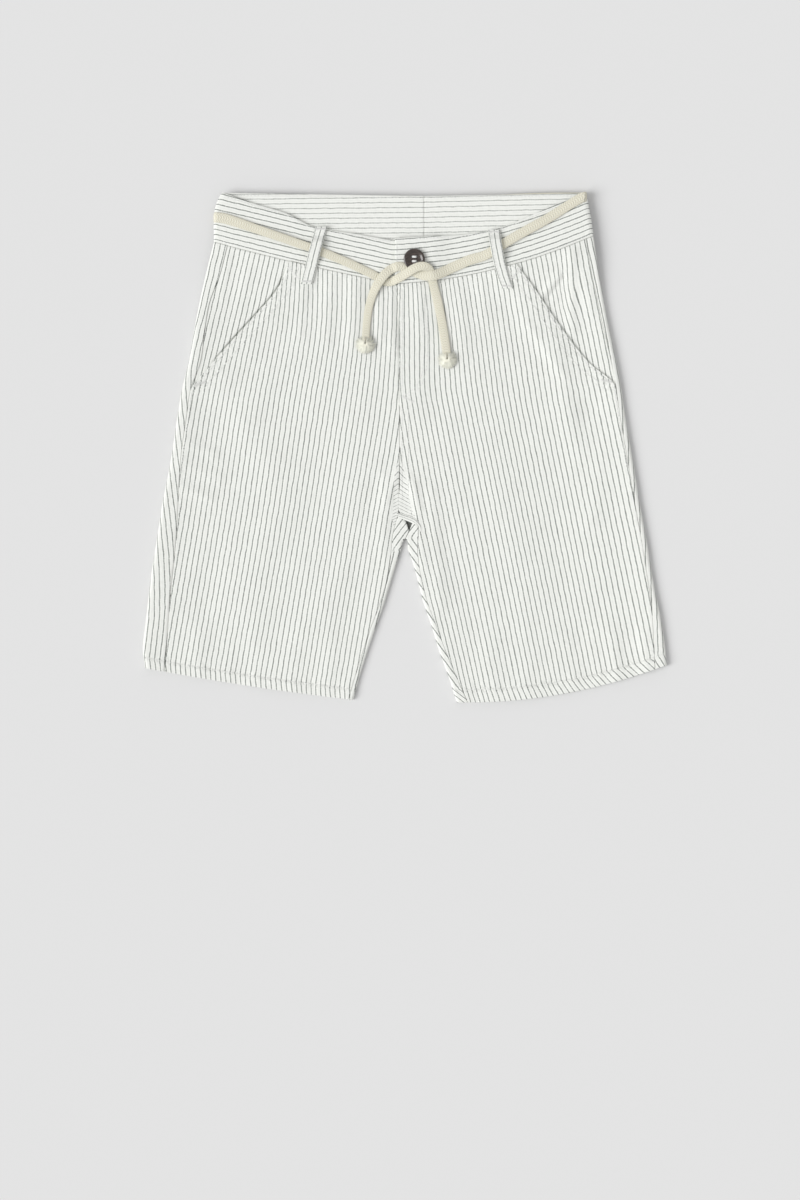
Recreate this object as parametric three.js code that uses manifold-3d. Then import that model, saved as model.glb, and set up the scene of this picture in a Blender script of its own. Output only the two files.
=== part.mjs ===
// Child's striped bermuda shorts with a cord belt, laid flat with the front up.
// Millimetres. X runs across the shorts, Y up to the waist, Z up from the table they lie on.
// Left and right are the wearer's, so the right leg lies on the side of negative X.
import * as THREE from "three";
import Module from "manifold-3d";

// Driving dimensions
const PANEL_WALL = 1.2;
const FACING_WALL = 1.0;
const BAND_WALL = 1.5;
const LOOP_WALL = 1.0;
const HEM_EXTRA = 0.6;
const SEAM_GAP = 0.3;
const LAYER_STEP = 1.8; // from the underside of a layer to the underside of the next one
const WAIST_LIFT = 5.0; // the back waistband lies this high, on the belt cord
const LIFT_TOP_Y = 164;
const LIFT_LENGTH = 56;
const CORD_WIDTH = 8.2;
const CORD_THICKNESS = 3.2;
const LOOP_WIDTH = 9.5;
const BUTTON_DIAMETER = 17;
const BUTTON_THICKNESS = 3;
const BAND_OVERLAP_END_X = 22.5; // the left band lies on the right one up to here
const FLY_UNDERLAP = 12;
const POCKET_UNDERLAP = 12;
const FACING_END_ROW = 4.85;

// Heights of the cloth above its resting level
const PUFF_MIDDLE = 0.6;
const PUFF_SIDE_FOLD = 2.2;
const PUFF_INNER_FOLD = 1.0;
const PUFF_WAIST = 0.4;
const SIDE_PUFF_REACH = 14;
const INNER_PUFF_REACH = 10;
const TOP_LAYER = LAYER_STEP + PANEL_WALL;
const RAISED_EDGE = 0.9;
const SUNK_EDGE = 0.6;
const OVERLAP_FULL = 13; // an overlap keeps its height this far behind the edge
const OVERLAP_FADED = 32;
const CENTRE_X = 0.5; // middle of the finished outline, brought to the origin at the end

const COTTON = new THREE.Color(0.83, 0.83, 0.8);
const CORD_COLOUR = new THREE.Color(0.8, 0.76, 0.62);
const HORN = new THREE.Color(0.06, 0.045, 0.035);

const wasm = await Module();
wasm.setup();

const shorts = new THREE.Group();
const { clamp, smoothstep, lerp } = THREE.MathUtils;

function table(columns, rows) {
  const named = (row) => Object.fromEntries(columns.map((column, i) => [column, row[i]]));
  return rows.map(named);
}

// Each leg is sewn from rows that run from the outer fold to the fly or the inseam.
const legColumns = ["row", "outerX", "outerY", "seamX", "mouthX", "innerX", "innerY"];
const legRows = {
  right: table(legColumns, [
    [0, -152, 164, -141, -91.5, -5, 130.5],
    [1, -158, 141, -147, -101, -4.5, 107.5],
    [2, -163.5, 117.5, -155.5, -118, -4, 85],
    [3, -168, 94.5, -159.5, -136, -4, 62.5],
    [4, -172, 71, -162.5, -153.5, -3.5, 39.5],
    [5, -177.5, 48, -170.5, -170.5, -3.5, 17],
    [6, -181.5, 25, -174, -174, -3.5, -5.5],
    [7, -185, 1, -177.5, -177.5, -4, -28.5],
    [8, -189, -22.5, -179.5, -179.5, -4.5, -51],
    [9, -193, -41.5, -180.5, -180.5, -9, -69.5],
    [10, -196, -61, -181.5, -181.5, -11, -88],
    [11, -199, -80, -183, -183, -14, -107],
    [12, -202, -99, -185, -185, -20, -126.5],
    [13, -204.5, -118.5, -187, -187, -27, -145],
    [14, -206.5, -137.5, -188.5, -188.5, -33.5, -165],
    [15, -209, -158.5, -190, -190, -39.5, -184],
    [16, -207, -176, -191.5, -191.5, -44.5, -201],
  ]),
  left: table(legColumns, [
    [0, 149, 169, 145, 86, -5, 131],
    [1, 154, 145, 148.5, 101, -4.5, 108],
    [2, 159, 121.5, 154, 115.5, -4, 85],
    [3, 163.5, 98, 159, 130.5, -4, 62.5],
    [4, 168.5, 74.5, 164.5, 147.5, -3.5, 39.5],
    [5, 173, 51, 169, 169, -3.5, 17],
    [6, 176.5, 27, 172.5, 172.5, -3.5, -5.5],
    [7, 180.5, 3.5, 176.5, 176.5, -3.5, -28.5],
    [8, 184.5, -20, 180.5, 180.5, -4, -51],
    [8.5, 186, -29.5, 182, 182, 6.5, -55],
    [9, 187.5, -39, 183.5, 183.5, 11.2, -62],
    [10, 191, -58.5, 187, 187, 10.8, -82.5],
    [11, 194.5, -77.5, 190.5, 190.5, 13.4, -103],
    [12, 197.5, -97, 193.5, 193.5, 18.5, -123],
    [13, 201, -116, 196.5, 196.5, 26, -143],
    [14, 205, -135, 198.5, 198.5, 33.5, -163],
    [15, 208, -154.5, 199.5, 199.5, 42, -183],
    [16, 210, -173.5, 200.5, 200.5, 51, -203.5],
  ]),
};

// The back panel's inner side: it lies flat up to the seat seam, and below the crotch it rolls
// over the inner fold (turn 1) and ends on top at the inseam. Rows after 8.5 end at the inseam.
const seatColumns = ["row", "foldX", "foldY", "endX", "endY", "turn", "outX", "outY"];
const seatRows = {
  right: table(seatColumns, [
    [0, 6, 164.5, 15.85, 165, 0, 1, 0],
    [7, -8, -53, 1.35, -53.5, 0, 1, 0],
    [7.3, -5.5, -65.5, 0.45, -66, 0, 1, 0],
    [7.5, -2.2, -71.5, 0, 0, 0.5, 0.5, -0.87],
    [7.65, -1.3, -73.2, 0.8, -72.6, 1, 0.3, -0.95],
    [7.8, -1.5, -73.4, 3.8, -66, 1, 0.3, -0.95],
    [7.9, -2, -73.6, 0.8, -60.5, 1, 0.3, -0.95],
    [8, -2.4, -74, -4.6, -54.5, 1, 0.4, -0.9],
    [8.5, -3, -75.5, -6.3, -58.3, 1, 0.6, -0.8],
    [9, -4, -79, 0, 0, 1, 0.95, -0.3],
    [9.5, -5.6, -84, 0, 0, 1, 1, 0],
    [10, -7.5, -89.5, 0, 0, 1, 1, 0],
    [11, -12.5, -106, 0, 0, 1, 1, 0],
    [12, -18.5, -126, 0, 0, 1, 1, 0],
    [13, -25.5, -145, 0, 0, 1, 1, 0],
    [14, -32, -164.5, 0, 0, 1, 1, 0],
    [15, -38, -183.5, 0, 0, 1, 1, 0],
    [16, -43, -201.5, 0, 0, 1, 1, 0],
  ]),
  left: table(seatColumns, [
    [0, 26, 164.5, 16.15, 165, 0, -1, 0],
    [7, 10.5, -53, 1.65, -53.5, 0, -1, 0],
    [7.3, 7, -65.5, 0.75, -66, 0, -1, 0],
    [7.5, 3.4, -71.5, 0, 0, 0.5, -0.5, -0.87],
    [7.65, 2.9, -73.4, 1.15, -72.6, 1, -0.3, -0.95],
    [7.8, 3.2, -73.6, 4.15, -66, 1, -0.3, -0.95],
    [7.9, 3.6, -74, 6.2, -61.2, 1, -0.3, -0.95],
    [8, 4, -74.8, 8.8, -60.5, 1, -0.5, -0.87],
    [8.5, 4.2, -77, 9.6, -61.5, 1, -0.8, -0.6],
    [9, 4.8, -81, 0, 0, 1, -1, 0],
    [9.5, 6.2, -85, 0, 0, 1, -1, 0],
    [10, 8, -89.5, 0, 0, 1, -1, 0],
    [11, 12, -103, 0, 0, 1, -1, 0],
    [12, 17, -123, 0, 0, 1, -1, 0],
    [13, 24, -143, 0, 0, 1, -1, 0],
    [14, 30, -163, 0, 0, 1, -1, 0],
    [15, 37.5, -183, 0, 0, 1, -1, 0],
    [16, 44, -203.5, 0, 0, 1, -1, 0],
  ]),
};
const INSEAM_FROM_ROW = 8.6;
const HEM_ROW = 15.55;
const FLY_END_ROW = 4.2;
const legs = {
  right: { side: -1, bulge: 1.5, rows: legRows.right, seat: seatRows.right },
  left: { side: 1, bulge: 7.5, rows: legRows.left, seat: seatRows.left },
};

// The largest soft folds of the top layer, each a ridge from one point to another
const folds = table(["fromX", "fromY", "toX", "toY", "height", "halfWidth"], [
  [-10.5, 126, -9.5, 80, 1.2, 4],
  [-15, -25, -17, -85, 0.8, 5],
  [-176, 6, -152, -5, 0.8, 4.5],
  [-178, -12, -148, -24, 0.7, 4.5],
  [-177, -32, -155, -40, 0.6, 4],
  [-59.5, 134, -62.5, 84, 0.7, 6],
  [-108, 60, -130, 20, 0.6, 9],
  [-163.5, -150, -165.5, -187, 0.6, 8],
  [-85, -140, -90, -192, 0.5, 9],
  [120.5, 82.5, 136.5, 6.5, 1.1, 9],
  [133.5, 154.5, 133.5, 94.5, 1.1, 5],
  [126, 134.5, 115, 121, 0.8, 4],
  [44.5, 122, 47, 76, 0.6, 6],
  [21, -33, 29, -125, 0.9, 6],
  [166, -150, 171, -188, 0.9, 7],
  [190, -145, 194, -180, 0.8, 5],
  [95, -120, 101, -196, 0.5, 9],
]);

// Value of a table's column at any row, as a smooth curve through the rows
function along(rows, column, t) {
  let i = 0;
  while (i < rows.length - 2 && t > rows[i + 1].row) i += 1;
  const before = rows[Math.max(i - 1, 0)];
  const from = rows[i];
  const to = rows[i + 1];
  const after = rows[Math.min(i + 2, rows.length - 1)];
  const span = to.row - from.row;
  const u = (t - from.row) / span;
  const slopeFrom = ((to[column] - before[column]) / (to.row - before.row)) * span;
  const slopeTo = ((after[column] - from[column]) / (after.row - from.row)) * span;
  const ease = u * u * (3 - 2 * u);
  const blend = lerp(from[column], to[column], ease);
  return blend + slopeFrom * u * (1 - u) * (1 - u) - slopeTo * u * u * (1 - u);
}

// Straight-line value of a table's column
function between(rows, column, t) {
  let i = 0;
  while (i < rows.length - 2 && t > rows[i + 1].row) i += 1;
  const u = (t - rows[i].row) / (rows[i + 1].row - rows[i].row);
  return lerp(rows[i][column], rows[i + 1][column], u);
}

// Height of the lowest layer's underside: it comes down to the table below the waistband
function restLevel(y) {
  return WAIST_LIFT * smoothstep(y, LIFT_TOP_Y - LIFT_LENGTH, LIFT_TOP_Y);
}

function nearEdge(distance, reach) {
  const u = Math.max(distance, 0) / reach;
  return Math.exp(-u * u);
}

function foldHeight(x, y) {
  let height = 0;
  for (const fold of folds) {
    const dx = fold.toX - fold.fromX;
    const dy = fold.toY - fold.fromY;
    const length = Math.hypot(dx, dy);
    const run = ((x - fold.fromX) * dx + (y - fold.fromY) * dy) / length;
    const inside = clamp(run, 0, length);
    const nearX = fold.fromX + (dx / length) * inside;
    const nearY = fold.fromY + (dy / length) * inside;
    height += fold.height * nearEdge(Math.hypot(x - nearX, y - nearY), fold.halfWidth);
  }
  return height;
}

function hemExtra(t) {
  return t > HEM_ROW ? HEM_EXTRA : 0;
}

// Height of the side fold over the resting level, low at the waistband and full on the leg
function sideFoldHeight(t) {
  return TOP_LAYER + lerp(PUFF_WAIST, PUFF_SIDE_FOLD, smoothstep(t, 0, 3)) + hemExtra(t) / 2;
}

function innerFoldHeight(t) {
  return TOP_LAYER + PUFF_INNER_FOLD + hemExtra(t) / 2;
}

// One row's places on a leg
function legRow(leg, t) {
  const at = (column) => along(leg.rows, column, t);
  const row = { t, side: leg.side, bulge: leg.bulge, outer: [at("outerX"), at("outerY")] };
  row.inner = [at("innerX"), at("innerY")];
  row.seamX = at("seamX");
  row.mouthX = t < 5 ? at("mouthX") : row.seamX;
  row.fold = [between(leg.seat, "foldX", t), between(leg.seat, "foldY", t)];
  row.out = new THREE.Vector2(between(leg.seat, "outX", t), between(leg.seat, "outY", t)).normalize();
  row.turn = between(leg.seat, "turn", t);
  const inseam = [row.inner[0] - leg.side * SEAM_GAP, row.inner[1]];
  row.end = t > INSEAM_FROM_ROW ? inseam : [between(leg.seat, "endX", t), between(leg.seat, "endY", t)];
  return row;
}

// Point of the row with a given x, on the line from the outer fold to the inner end
function onRow(row, x) {
  const s = (x - row.outer[0]) / (row.inner[0] - row.outer[0]);
  return lerp(row.outer[1], row.inner[1], s) - row.bulge * 4 * s * (1 - s);
}

// Height of the top layer over the table at a point of a row
function topHeight(row, x, y) {
  const fromSide = Math.abs(x - row.outer[0]) - sideFoldHeight(row.t) / 2;
  const fromInner = row.t > 7.6 ? Math.hypot(x - row.fold[0], y - row.fold[1]) : 1000;
  const sideRise = sideFoldHeight(row.t) - TOP_LAYER - PUFF_MIDDLE - hemExtra(row.t) / 2;
  const innerRise = PUFF_INNER_FOLD - PUFF_MIDDLE;
  let rise = sideRise * nearEdge(fromSide, SIDE_PUFF_REACH);
  rise += innerRise * nearEdge(fromInner, INNER_PUFF_REACH);
  const clear = smoothstep(Math.min(fromSide, fromInner), 0, 7);
  const level = restLevel(y) + TOP_LAYER + PUFF_MIDDLE + hemExtra(row.t) / 2;
  return level + rise + clear * foldHeight(x, y);
}

// How much an overlapping edge is in force: full at the edge, nothing well behind it
function overlapAt(distance, t, lastRow) {
  const across = 1 - smoothstep(distance, OVERLAP_FULL, OVERLAP_FADED);
  return across * (1 - smoothstep(t, lastRow, lastRow + 0.7));
}

// Top of a front panel: its edges are raised at the pocket mouth and where it laps over the
// fly, and the other panel's edge is sunk under that
function frontTop(leg, row, x, y) {
  const pocket = overlapAt(Math.abs(x - row.mouthX), row.t, 4.7);
  const fly = overlapAt(Math.abs(x - row.inner[0]), row.t, 4.6);
  return topHeight(row, x, y) + RAISED_EDGE * pocket + (leg.side > 0 ? RAISED_EDGE : -SUNK_EDGE) * fly;
}

// A closed wall from a grid of points with normals; wall(i, j) is its thickness there
function clothWall(grid, wall) {
  const rows = grid.length;
  const columns = grid[0].length;
  const positions = [];
  const index = [];
  for (const layer of [0, 1]) {
    grid.forEach((line, i) => line.forEach(({ p, n }, j) => {
      const inset = layer * wall(i, j);
      positions.push(p.x - n.x * inset, p.y - n.y * inset, p.z - n.z * inset);
    }));
  }
  const at = (i, j, layer) => layer * rows * columns + i * columns + j;
  const quad = (a, b, c, d) => index.push(a, b, c, a, c, d);
  for (let i = 0; i < rows - 1; i += 1) {
    for (let j = 0; j < columns - 1; j += 1) {
      quad(at(i, j, 0), at(i + 1, j, 0), at(i + 1, j + 1, 0), at(i, j + 1, 0));
      quad(at(i, j, 1), at(i, j + 1, 1), at(i + 1, j + 1, 1), at(i + 1, j, 1));
    }
  }
  const end = columns - 1;
  for (let i = 0; i < rows - 1; i += 1) {
    quad(at(i, 0, 0), at(i, 0, 1), at(i + 1, 0, 1), at(i + 1, 0, 0));
    quad(at(i, end, 0), at(i + 1, end, 0), at(i + 1, end, 1), at(i, end, 1));
  }
  for (let j = 0; j < columns - 1; j += 1) {
    quad(at(0, j, 0), at(0, j + 1, 0), at(0, j + 1, 1), at(0, j, 1));
    quad(at(rows - 1, j, 0), at(rows - 1, j, 1), at(rows - 1, j + 1, 1), at(rows - 1, j + 1, 0));
  }
  const geometry = new THREE.BufferGeometry();
  geometry.setAttribute("position", new THREE.Float32BufferAttribute(positions, 3));
  geometry.setIndex(index);
  return facingOut(geometry);
}

// Turns the faces round where the body's signed volume is negative
function facingOut(geometry) {
  const position = geometry.getAttribute("position");
  const index = geometry.getIndex();
  const a = new THREE.Vector3();
  const b = new THREE.Vector3();
  const c = new THREE.Vector3();
  let volume = 0;
  for (let i = 0; i < index.count; i += 3) {
    a.fromBufferAttribute(position, index.getX(i));
    b.fromBufferAttribute(position, index.getX(i + 1));
    c.fromBufferAttribute(position, index.getX(i + 2));
    volume += a.dot(b.cross(c));
  }
  if (volume < 0) {
    for (let i = 0; i < index.count; i += 3) {
      const first = index.getX(i);
      index.setX(i, index.getX(i + 1));
      index.setX(i + 1, first);
    }
  }
  return geometry;
}

function addMesh(name, geometry, color, roughness) {
  const material = new THREE.MeshStandardMaterial({ color, roughness, metalness: 0 });
  const mesh = new THREE.Mesh(geometry, material);
  mesh.name = name;
  shorts.add(mesh);
  return mesh;
}

const point = (x, y, z) => new THREE.Vector3(x, y, z);
const UP = point(0, 0, 1);

// Rows of the panels, closer where pocket, fly and crotch are
const upperRows = [0, 0.5, 1, 1.5, 2, 2.5, 3, 3.5, 4, 4.5, 5, 6, 7];
const lowerRows = [8, 8.5, 9, 9.5, 10, 11, 12, 13, 14, 15, 15.5, 15.6, 16];
const crotchRows = [7.3, 7.5, 7.65, 7.8, 7.9];

// Front panel: from the pocket mouth or the side seam to the fly or the inseam
function frontPanel(leg) {
  const columns = 15;
  const isOverFly = leg.side > 0;
  const grid = [...upperRows, ...lowerRows].map((t) => {
    const row = legRow(leg, t);
    const start = row.mouthX - leg.side * (t < 5 ? 0 : SEAM_GAP / 2);
    const underFly = !isOverFly && t < FLY_END_ROW;
    const tuck = underFly ? FLY_UNDERLAP : leg.side * (SEAM_GAP / 2);
    const stop = row.inner[0] + (t < INSEAM_FROM_ROW ? tuck : 0);
    const line = [];
    for (let j = 0; j < columns; j += 1) {
      const u = j / (columns - 1);
      const x = lerp(start, stop, u * 0.6 + 0.4 * smoothstep(u, 0, 1));
      const y = onRow(row, x);
      line.push({ p: point(x, y, frontTop(leg, row, x, y)), n: UP, t });
    }
    return line;
  });
  return clothWall(grid, (i, j) => PANEL_WALL + hemExtra(grid[i][j].t));
}

// Hip piece that shows inside the pocket mouth
function pocketFacing(leg) {
  const columns = 7;
  const grid = [...upperRows.filter((t) => t < 5), FACING_END_ROW].map((t) => {
    const row = legRow(leg, t);
    const start = row.seamX - leg.side * (SEAM_GAP / 2);
    const stop = row.mouthX - leg.side * POCKET_UNDERLAP;
    const line = [];
    for (let j = 0; j < columns; j += 1) {
      const x = lerp(start, stop, j / (columns - 1));
      const y = onRow(row, x);
      line.push({ p: point(x, y, topHeight(row, x, y) - SUNK_EDGE), n: UP });
    }
    return line;
  });
  return clothWall(grid, () => FACING_WALL);
}

// Half-round roll of a cloth edge: from the underside (angle 0) over the fold to the top (pi)
function rollPoint(x, y, low, radius, out, angle) {
  const reach = radius * Math.sin(angle);
  const z = low + radius * (1 - Math.cos(angle));
  const normal = point(out.x * Math.sin(angle), out.y * Math.sin(angle), -Math.cos(angle));
  return { p: point(x + out.x * reach, y + out.y * reach, z), n: normal };
}

// Back panel: side seam on top, over the side fold, along the table, and up over the inner fold
function backPanel(leg) {
  const rolls = 5;
  const across = 8;
  const outward = new THREE.Vector2(leg.side, 0);
  const rows = [...upperRows, ...crotchRows, ...lowerRows];
  const grid = rows.map((t) => {
    const row = legRow(leg, t);
    const line = [];
    const sideRadius = sideFoldHeight(t) / 2;
    const innerRadius = innerFoldHeight(t) / 2;
    const seam = row.seamX + leg.side * (SEAM_GAP / 2);
    const sideX = row.outer[0] - leg.side * sideRadius;
    const sideY = onRow(row, sideX);
    const seamY = onRow(row, seam);
    for (let k = 0; k < 2; k += 1) {
      const x = lerp(seam, sideX, k / 2);
      const y = lerp(seamY, sideY, k / 2);
      line.push({ p: point(x, y, topHeight(row, x, y)), n: UP });
    }
    for (let k = 0; k <= rolls; k += 1) {
      line.push(rollPoint(sideX, sideY, restLevel(sideY), sideRadius, outward, Math.PI * (1 - k / rolls)));
    }
    const sag = t > 15 ? leg.bulge - 1 : 0;
    for (let k = 1; k < across; k += 1) {
      const s = k / across;
      const x = lerp(sideX, row.fold[0], s);
      const y = lerp(sideY, row.fold[1], s) - sag * 4 * s * (1 - s);
      line.push({ p: point(x, y, restLevel(y)), n: point(0, 0, -1) });
    }
    if (row.turn < 0.01) {
      for (let k = 0; k <= rolls + 2; k += 1) {
        const s = k / (rolls + 2);
        const x = lerp(row.fold[0], row.end[0], s);
        const y = lerp(row.fold[1], row.end[1], s);
        line.push({ p: point(x, y, restLevel(y)), n: point(0, 0, -1) });
      }
    } else {
      const [foldX, foldY] = row.fold;
      for (let k = 0; k <= rolls; k += 1) {
        line.push(rollPoint(foldX, foldY, 0, innerRadius, row.out, (Math.PI * row.turn * k) / rolls));
      }
      const last = line[line.length - 1];
      for (let k = 1; k <= 2; k += 1) {
        if (row.turn < 0.99) {
          line.push({ p: last.p.clone().add(point(0, 0, 0.4 * k)), n: last.n });
        } else {
          const x = lerp(foldX, row.end[0], k / 2);
          const y = lerp(foldY, row.end[1], k / 2);
          line.push({ p: point(x, y, topHeight(row, x, y)), n: UP });
        }
      }
    }
    line.forEach((place) => { place.t = t; });
    return line;
  });
  return clothWall(grid, (i, j) => PANEL_WALL + hemExtra(grid[i][j].t));
}

// Waistband: its lower edge follows the waist seam, its upper edge this table
const bandColumns = ["row", "lowX", "topX", "topY"];
const bands = {
  right: { leg: legs.right, centreBackTop: [15.85, 201], foldTop: [-145, 203.5], rows: table(bandColumns, [
    [0, 22, 21.5, 161.5],
    [1, -5, -7.5, 165],
    [2, -39.5, -38, 170.5],
    [3, -74, -71.5, 176],
    [4, -98, -94, 187],
    [5, -124, -119, 194.5],
    [6, -150.3, -143.3, 203],
  ]) },
  left: { leg: legs.left, centreBackTop: [16.15, 201], foldTop: [145, 203], rows: table(bandColumns, [
    [0, -7.5, -7.5, 167],
    [1, 22, 21, 168.5],
    [2, 49, 46.5, 170],
    [3, 77, 73.5, 174.5],
    [4, 102, 98, 184],
    [5, 127, 122, 194],
    [6, 147.3, 143.3, 202],
  ]) },
};

// The seam under the waistband runs on from one leg to the other
function waistSeamY(x) {
  return onRow(legRow(x < -5 ? legs.right : legs.left, 0), x);
}

function bandSurface(x, y) {
  return restLevel(y) + LAYER_STEP + BAND_WALL + 0.1;
}

// The left band lies on the right one's end and comes down to the same level beyond it
function bandOverlap(x) {
  return LAYER_STEP * (1 - smoothstep(x, BAND_OVERLAP_END_X, BAND_OVERLAP_END_X + 17));
}

// A band runs from the centre front round the side fold to the centre back seam
function waistband(band) {
  const { leg, centreBackTop, foldTop } = band;
  const isOver = leg.side > 0;
  const first = legRow(leg, 0);
  const radius = (LAYER_STEP + BAND_WALL + 0.1) / 2;
  const outward = new THREE.Vector2(leg.side, 0);
  const heights = [0, 0.25, 0.5, 0.75, 1];
  const grid = [];
  for (let t = 0; t <= 6; t += 0.5) {
    const lowX = along(band.rows, "lowX", t);
    const lowY = waistSeamY(lowX) + SEAM_GAP;
    const topX = along(band.rows, "topX", t);
    const topY = along(band.rows, "topY", t);
    grid.push(heights.map((v) => {
      const x = lerp(lowX, topX, v);
      const y = lerp(lowY, topY, v);
      return { p: point(x, y, bandSurface(x, y) + (isOver ? bandOverlap(x) : 0)), n: UP };
    }));
  }
  const lowFold = [first.outer[0], onRow(first, first.outer[0] - leg.side * radius) + SEAM_GAP];
  const centreX = (v) => lerp(lowFold[0], foldTop[0], v) - leg.side * radius;
  for (let k = 1; k <= 5; k += 1) {
    grid.push(heights.map((v) => {
      const y = lerp(lowFold[1], foldTop[1], v);
      return rollPoint(centreX(v), y, restLevel(y), radius, outward, Math.PI * (1 - k / 5));
    }));
  }
  const backSteps = 7;
  for (let k = 1; k <= backSteps; k += 1) {
    grid.push(heights.map((v) => {
      const s = k / backSteps;
      const x = lerp(centreX(v), centreBackTop[0], s);
      const low = lerp(lowFold[1], 165 + SEAM_GAP, s);
      const y = lerp(low, lerp(foldTop[1], centreBackTop[1], s), v);
      return { p: point(x, y, restLevel(y)), n: point(0, 0, -1) };
    }));
  }
  return clothWall(grid, () => BAND_WALL);
}

// The row of a leg that runs through a point, found by halving
function rowThrough(leg, x, y) {
  let upper = 0;
  let lower = 16;
  for (let step = 0; step < 14; step += 1) {
    const middle = (upper + lower) / 2;
    if (onRow(legRow(leg, middle), x) > y) upper = middle;
    else lower = middle;
  }
  return legRow(leg, (upper + lower) / 2);
}

// Top of whatever cloth lies at a point of the front, for what is laid on it
function clothTop(x, y) {
  const leg = x < -5 ? legs.right : legs.left;
  const panelTop = frontTop(leg, rowThrough(leg, x, y), x, y);
  const bandTop = bandSurface(x, y) + (x > -8 ? bandOverlap(x) : 0);
  const waistY = waistSeamY(x);
  return lerp(panelTop, Math.max(bandTop, panelTop), smoothstep(y, waistY - 6, waistY - 1));
}

// A flat cord through stations, each with a place, the direction of its flat side and a width.
// ExtrudeGeometry asks a path for its points and frames, and both are given here.
class CordPath extends THREE.Curve {
  constructor(stations) {
    super();
    this.stations = stations;
  }

  getPoint(t) {
    const last = this.stations.length - 1;
    const i = Math.min(Math.floor(t * last), last - 1);
    return this.stations[i].p.clone().lerp(this.stations[i + 1].p, t * last - i);
  }

  getSpacedPoints() {
    return this.stations.map((station) => station.p.clone());
  }

  computeFrenetFrames() {
    const tangents = [];
    const normals = [];
    const binormals = [];
    this.stations.forEach((station, i) => {
      const before = this.stations[Math.max(i - 1, 0)].p;
      const after = this.stations[Math.min(i + 1, this.stations.length - 1)].p;
      const tangent = after.clone().sub(before).normalize();
      const normal = station.up.clone().addScaledVector(tangent, -station.up.dot(tangent)).normalize();
      tangents.push(tangent);
      normals.push(normal);
      binormals.push(tangent.clone().cross(normal).multiplyScalar(station.width));
    });
    return { tangents, normals, binormals };
  }
}

function flatCord(stations) {
  const section = new THREE.Shape();
  const sides = 10;
  for (let k = 0; k < sides; k += 1) {
    const angle = (2 * Math.PI * (k + 0.5)) / sides;
    const x = (CORD_THICKNESS / 2) * Math.cos(angle);
    const y = (CORD_WIDTH / 2) * Math.sin(angle);
    if (k === 0) section.moveTo(x, y);
    else section.lineTo(x, y);
  }
  section.closePath();
  const path = new CordPath(stations);
  const options = { steps: stations.length - 1, extrudePath: path, bevelEnabled: false };
  return weld(new THREE.ExtrudeGeometry(section, options));
}

// Joins equal points and lets manifold-3d check that the surface is closed
function toManifold(geometry) {
  const keys = new Map();
  const vertices = [];
  const triangles = [];
  const position = geometry.getAttribute("position");
  const index = geometry.getIndex();
  const count = index ? index.count : position.count;
  for (let i = 0; i < count; i += 1) {
    const k = index ? index.getX(i) : i;
    const place = [position.getX(k), position.getY(k), position.getZ(k)];
    const key = place.map((value) => Math.round(value * 1e4)).join();
    if (!keys.has(key)) {
      keys.set(key, vertices.length / 3);
      vertices.push(...place);
    }
    triangles.push(keys.get(key));
  }
  const solid = [];
  for (let i = 0; i < triangles.length; i += 3) {
    const [a, b, c] = triangles.slice(i, i + 3);
    if (a !== b && b !== c && a !== c) solid.push(a, b, c);
  }
  const mesh = { numProp: 3, vertProperties: new Float32Array(vertices), triVerts: new Uint32Array(solid) };
  return new wasm.Manifold(new wasm.Mesh(mesh));
}

function fromManifold(solid) {
  const mesh = solid.getMesh();
  const geometry = new THREE.BufferGeometry();
  geometry.setAttribute("position", new THREE.Float32BufferAttribute(mesh.vertProperties, 3));
  geometry.setIndex([...mesh.triVerts]);
  return facingOut(geometry);
}

function weld(geometry) {
  return fromManifold(toManifold(geometry));
}

// Centre height of the cord on the cloth, or one cord higher where it crosses
const CORD_ON_CLOTH = CORD_THICKNESS / 2 + 0.25;
const CORD_ON_CORD = CORD_THICKNESS + 0.35;

// Cord routes on the front: place, level (0 on the cloth, 1 over another strand), width share.
// The cord is squeezed to 0.8 of its width inside the knot.
const routeColumns = ["x", "y", "level", "width"];
const knotFromRight = table(routeColumns, [
  [24.5, 135.2, 0, 0.8], [22, 137.4, 0.1, 0.8], [19.3, 140.6, 0.6, 0.8], [16, 143.2, 0.95, 0.8],
  [12, 144, 1, 0.8], [8, 143.2, 1, 0.8], [4, 140.8, 1, 0.8], [0, 137.8, 1, 0.8],
  [-4, 134.8, 0.7, 0.8], [-7.5, 133, 0.25, 0.8], [-11, 132.8, 0, 0.8], [-16, 134.6, 0, 0.85],
  [-24, 138, 0, 0.95], [-42, 146, 0, 1], [-60, 153.6, 0, 1], [-72, 158.2, 0, 1], [-84, 162.4, 0, 1],
  [-105, 169.6, 0, 1], [-125, 176.6, 0, 1], [-138, 181, 0, 1], [-144, 182.4, 0, 1], [-147, 182.5, 0, 1],
]);
const knotFromLeft = table(routeColumns, [
  [143.9, 197.5, 0, 1], [141, 197.4, 0, 1], [134, 194.6, 0, 1], [114, 182.8, 0, 1], [95, 171.6, 0, 1],
  [82, 164, 0, 1], [73.5, 158.6, 0, 1], [64, 153, 0, 1], [50, 146, 0, 1], [38, 140.8, 0, 0.95],
  [31, 138.4, 0.5, 0.85], [26, 136.4, 1, 0.8], [20.5, 133.8, 1, 0.8], [16.5, 132, 0.55, 0.8],
  [12.5, 131.8, 0.05, 0.8], [8, 133.6, 0, 0.8], [3, 136.6, 0, 0.8],
]);
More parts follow.
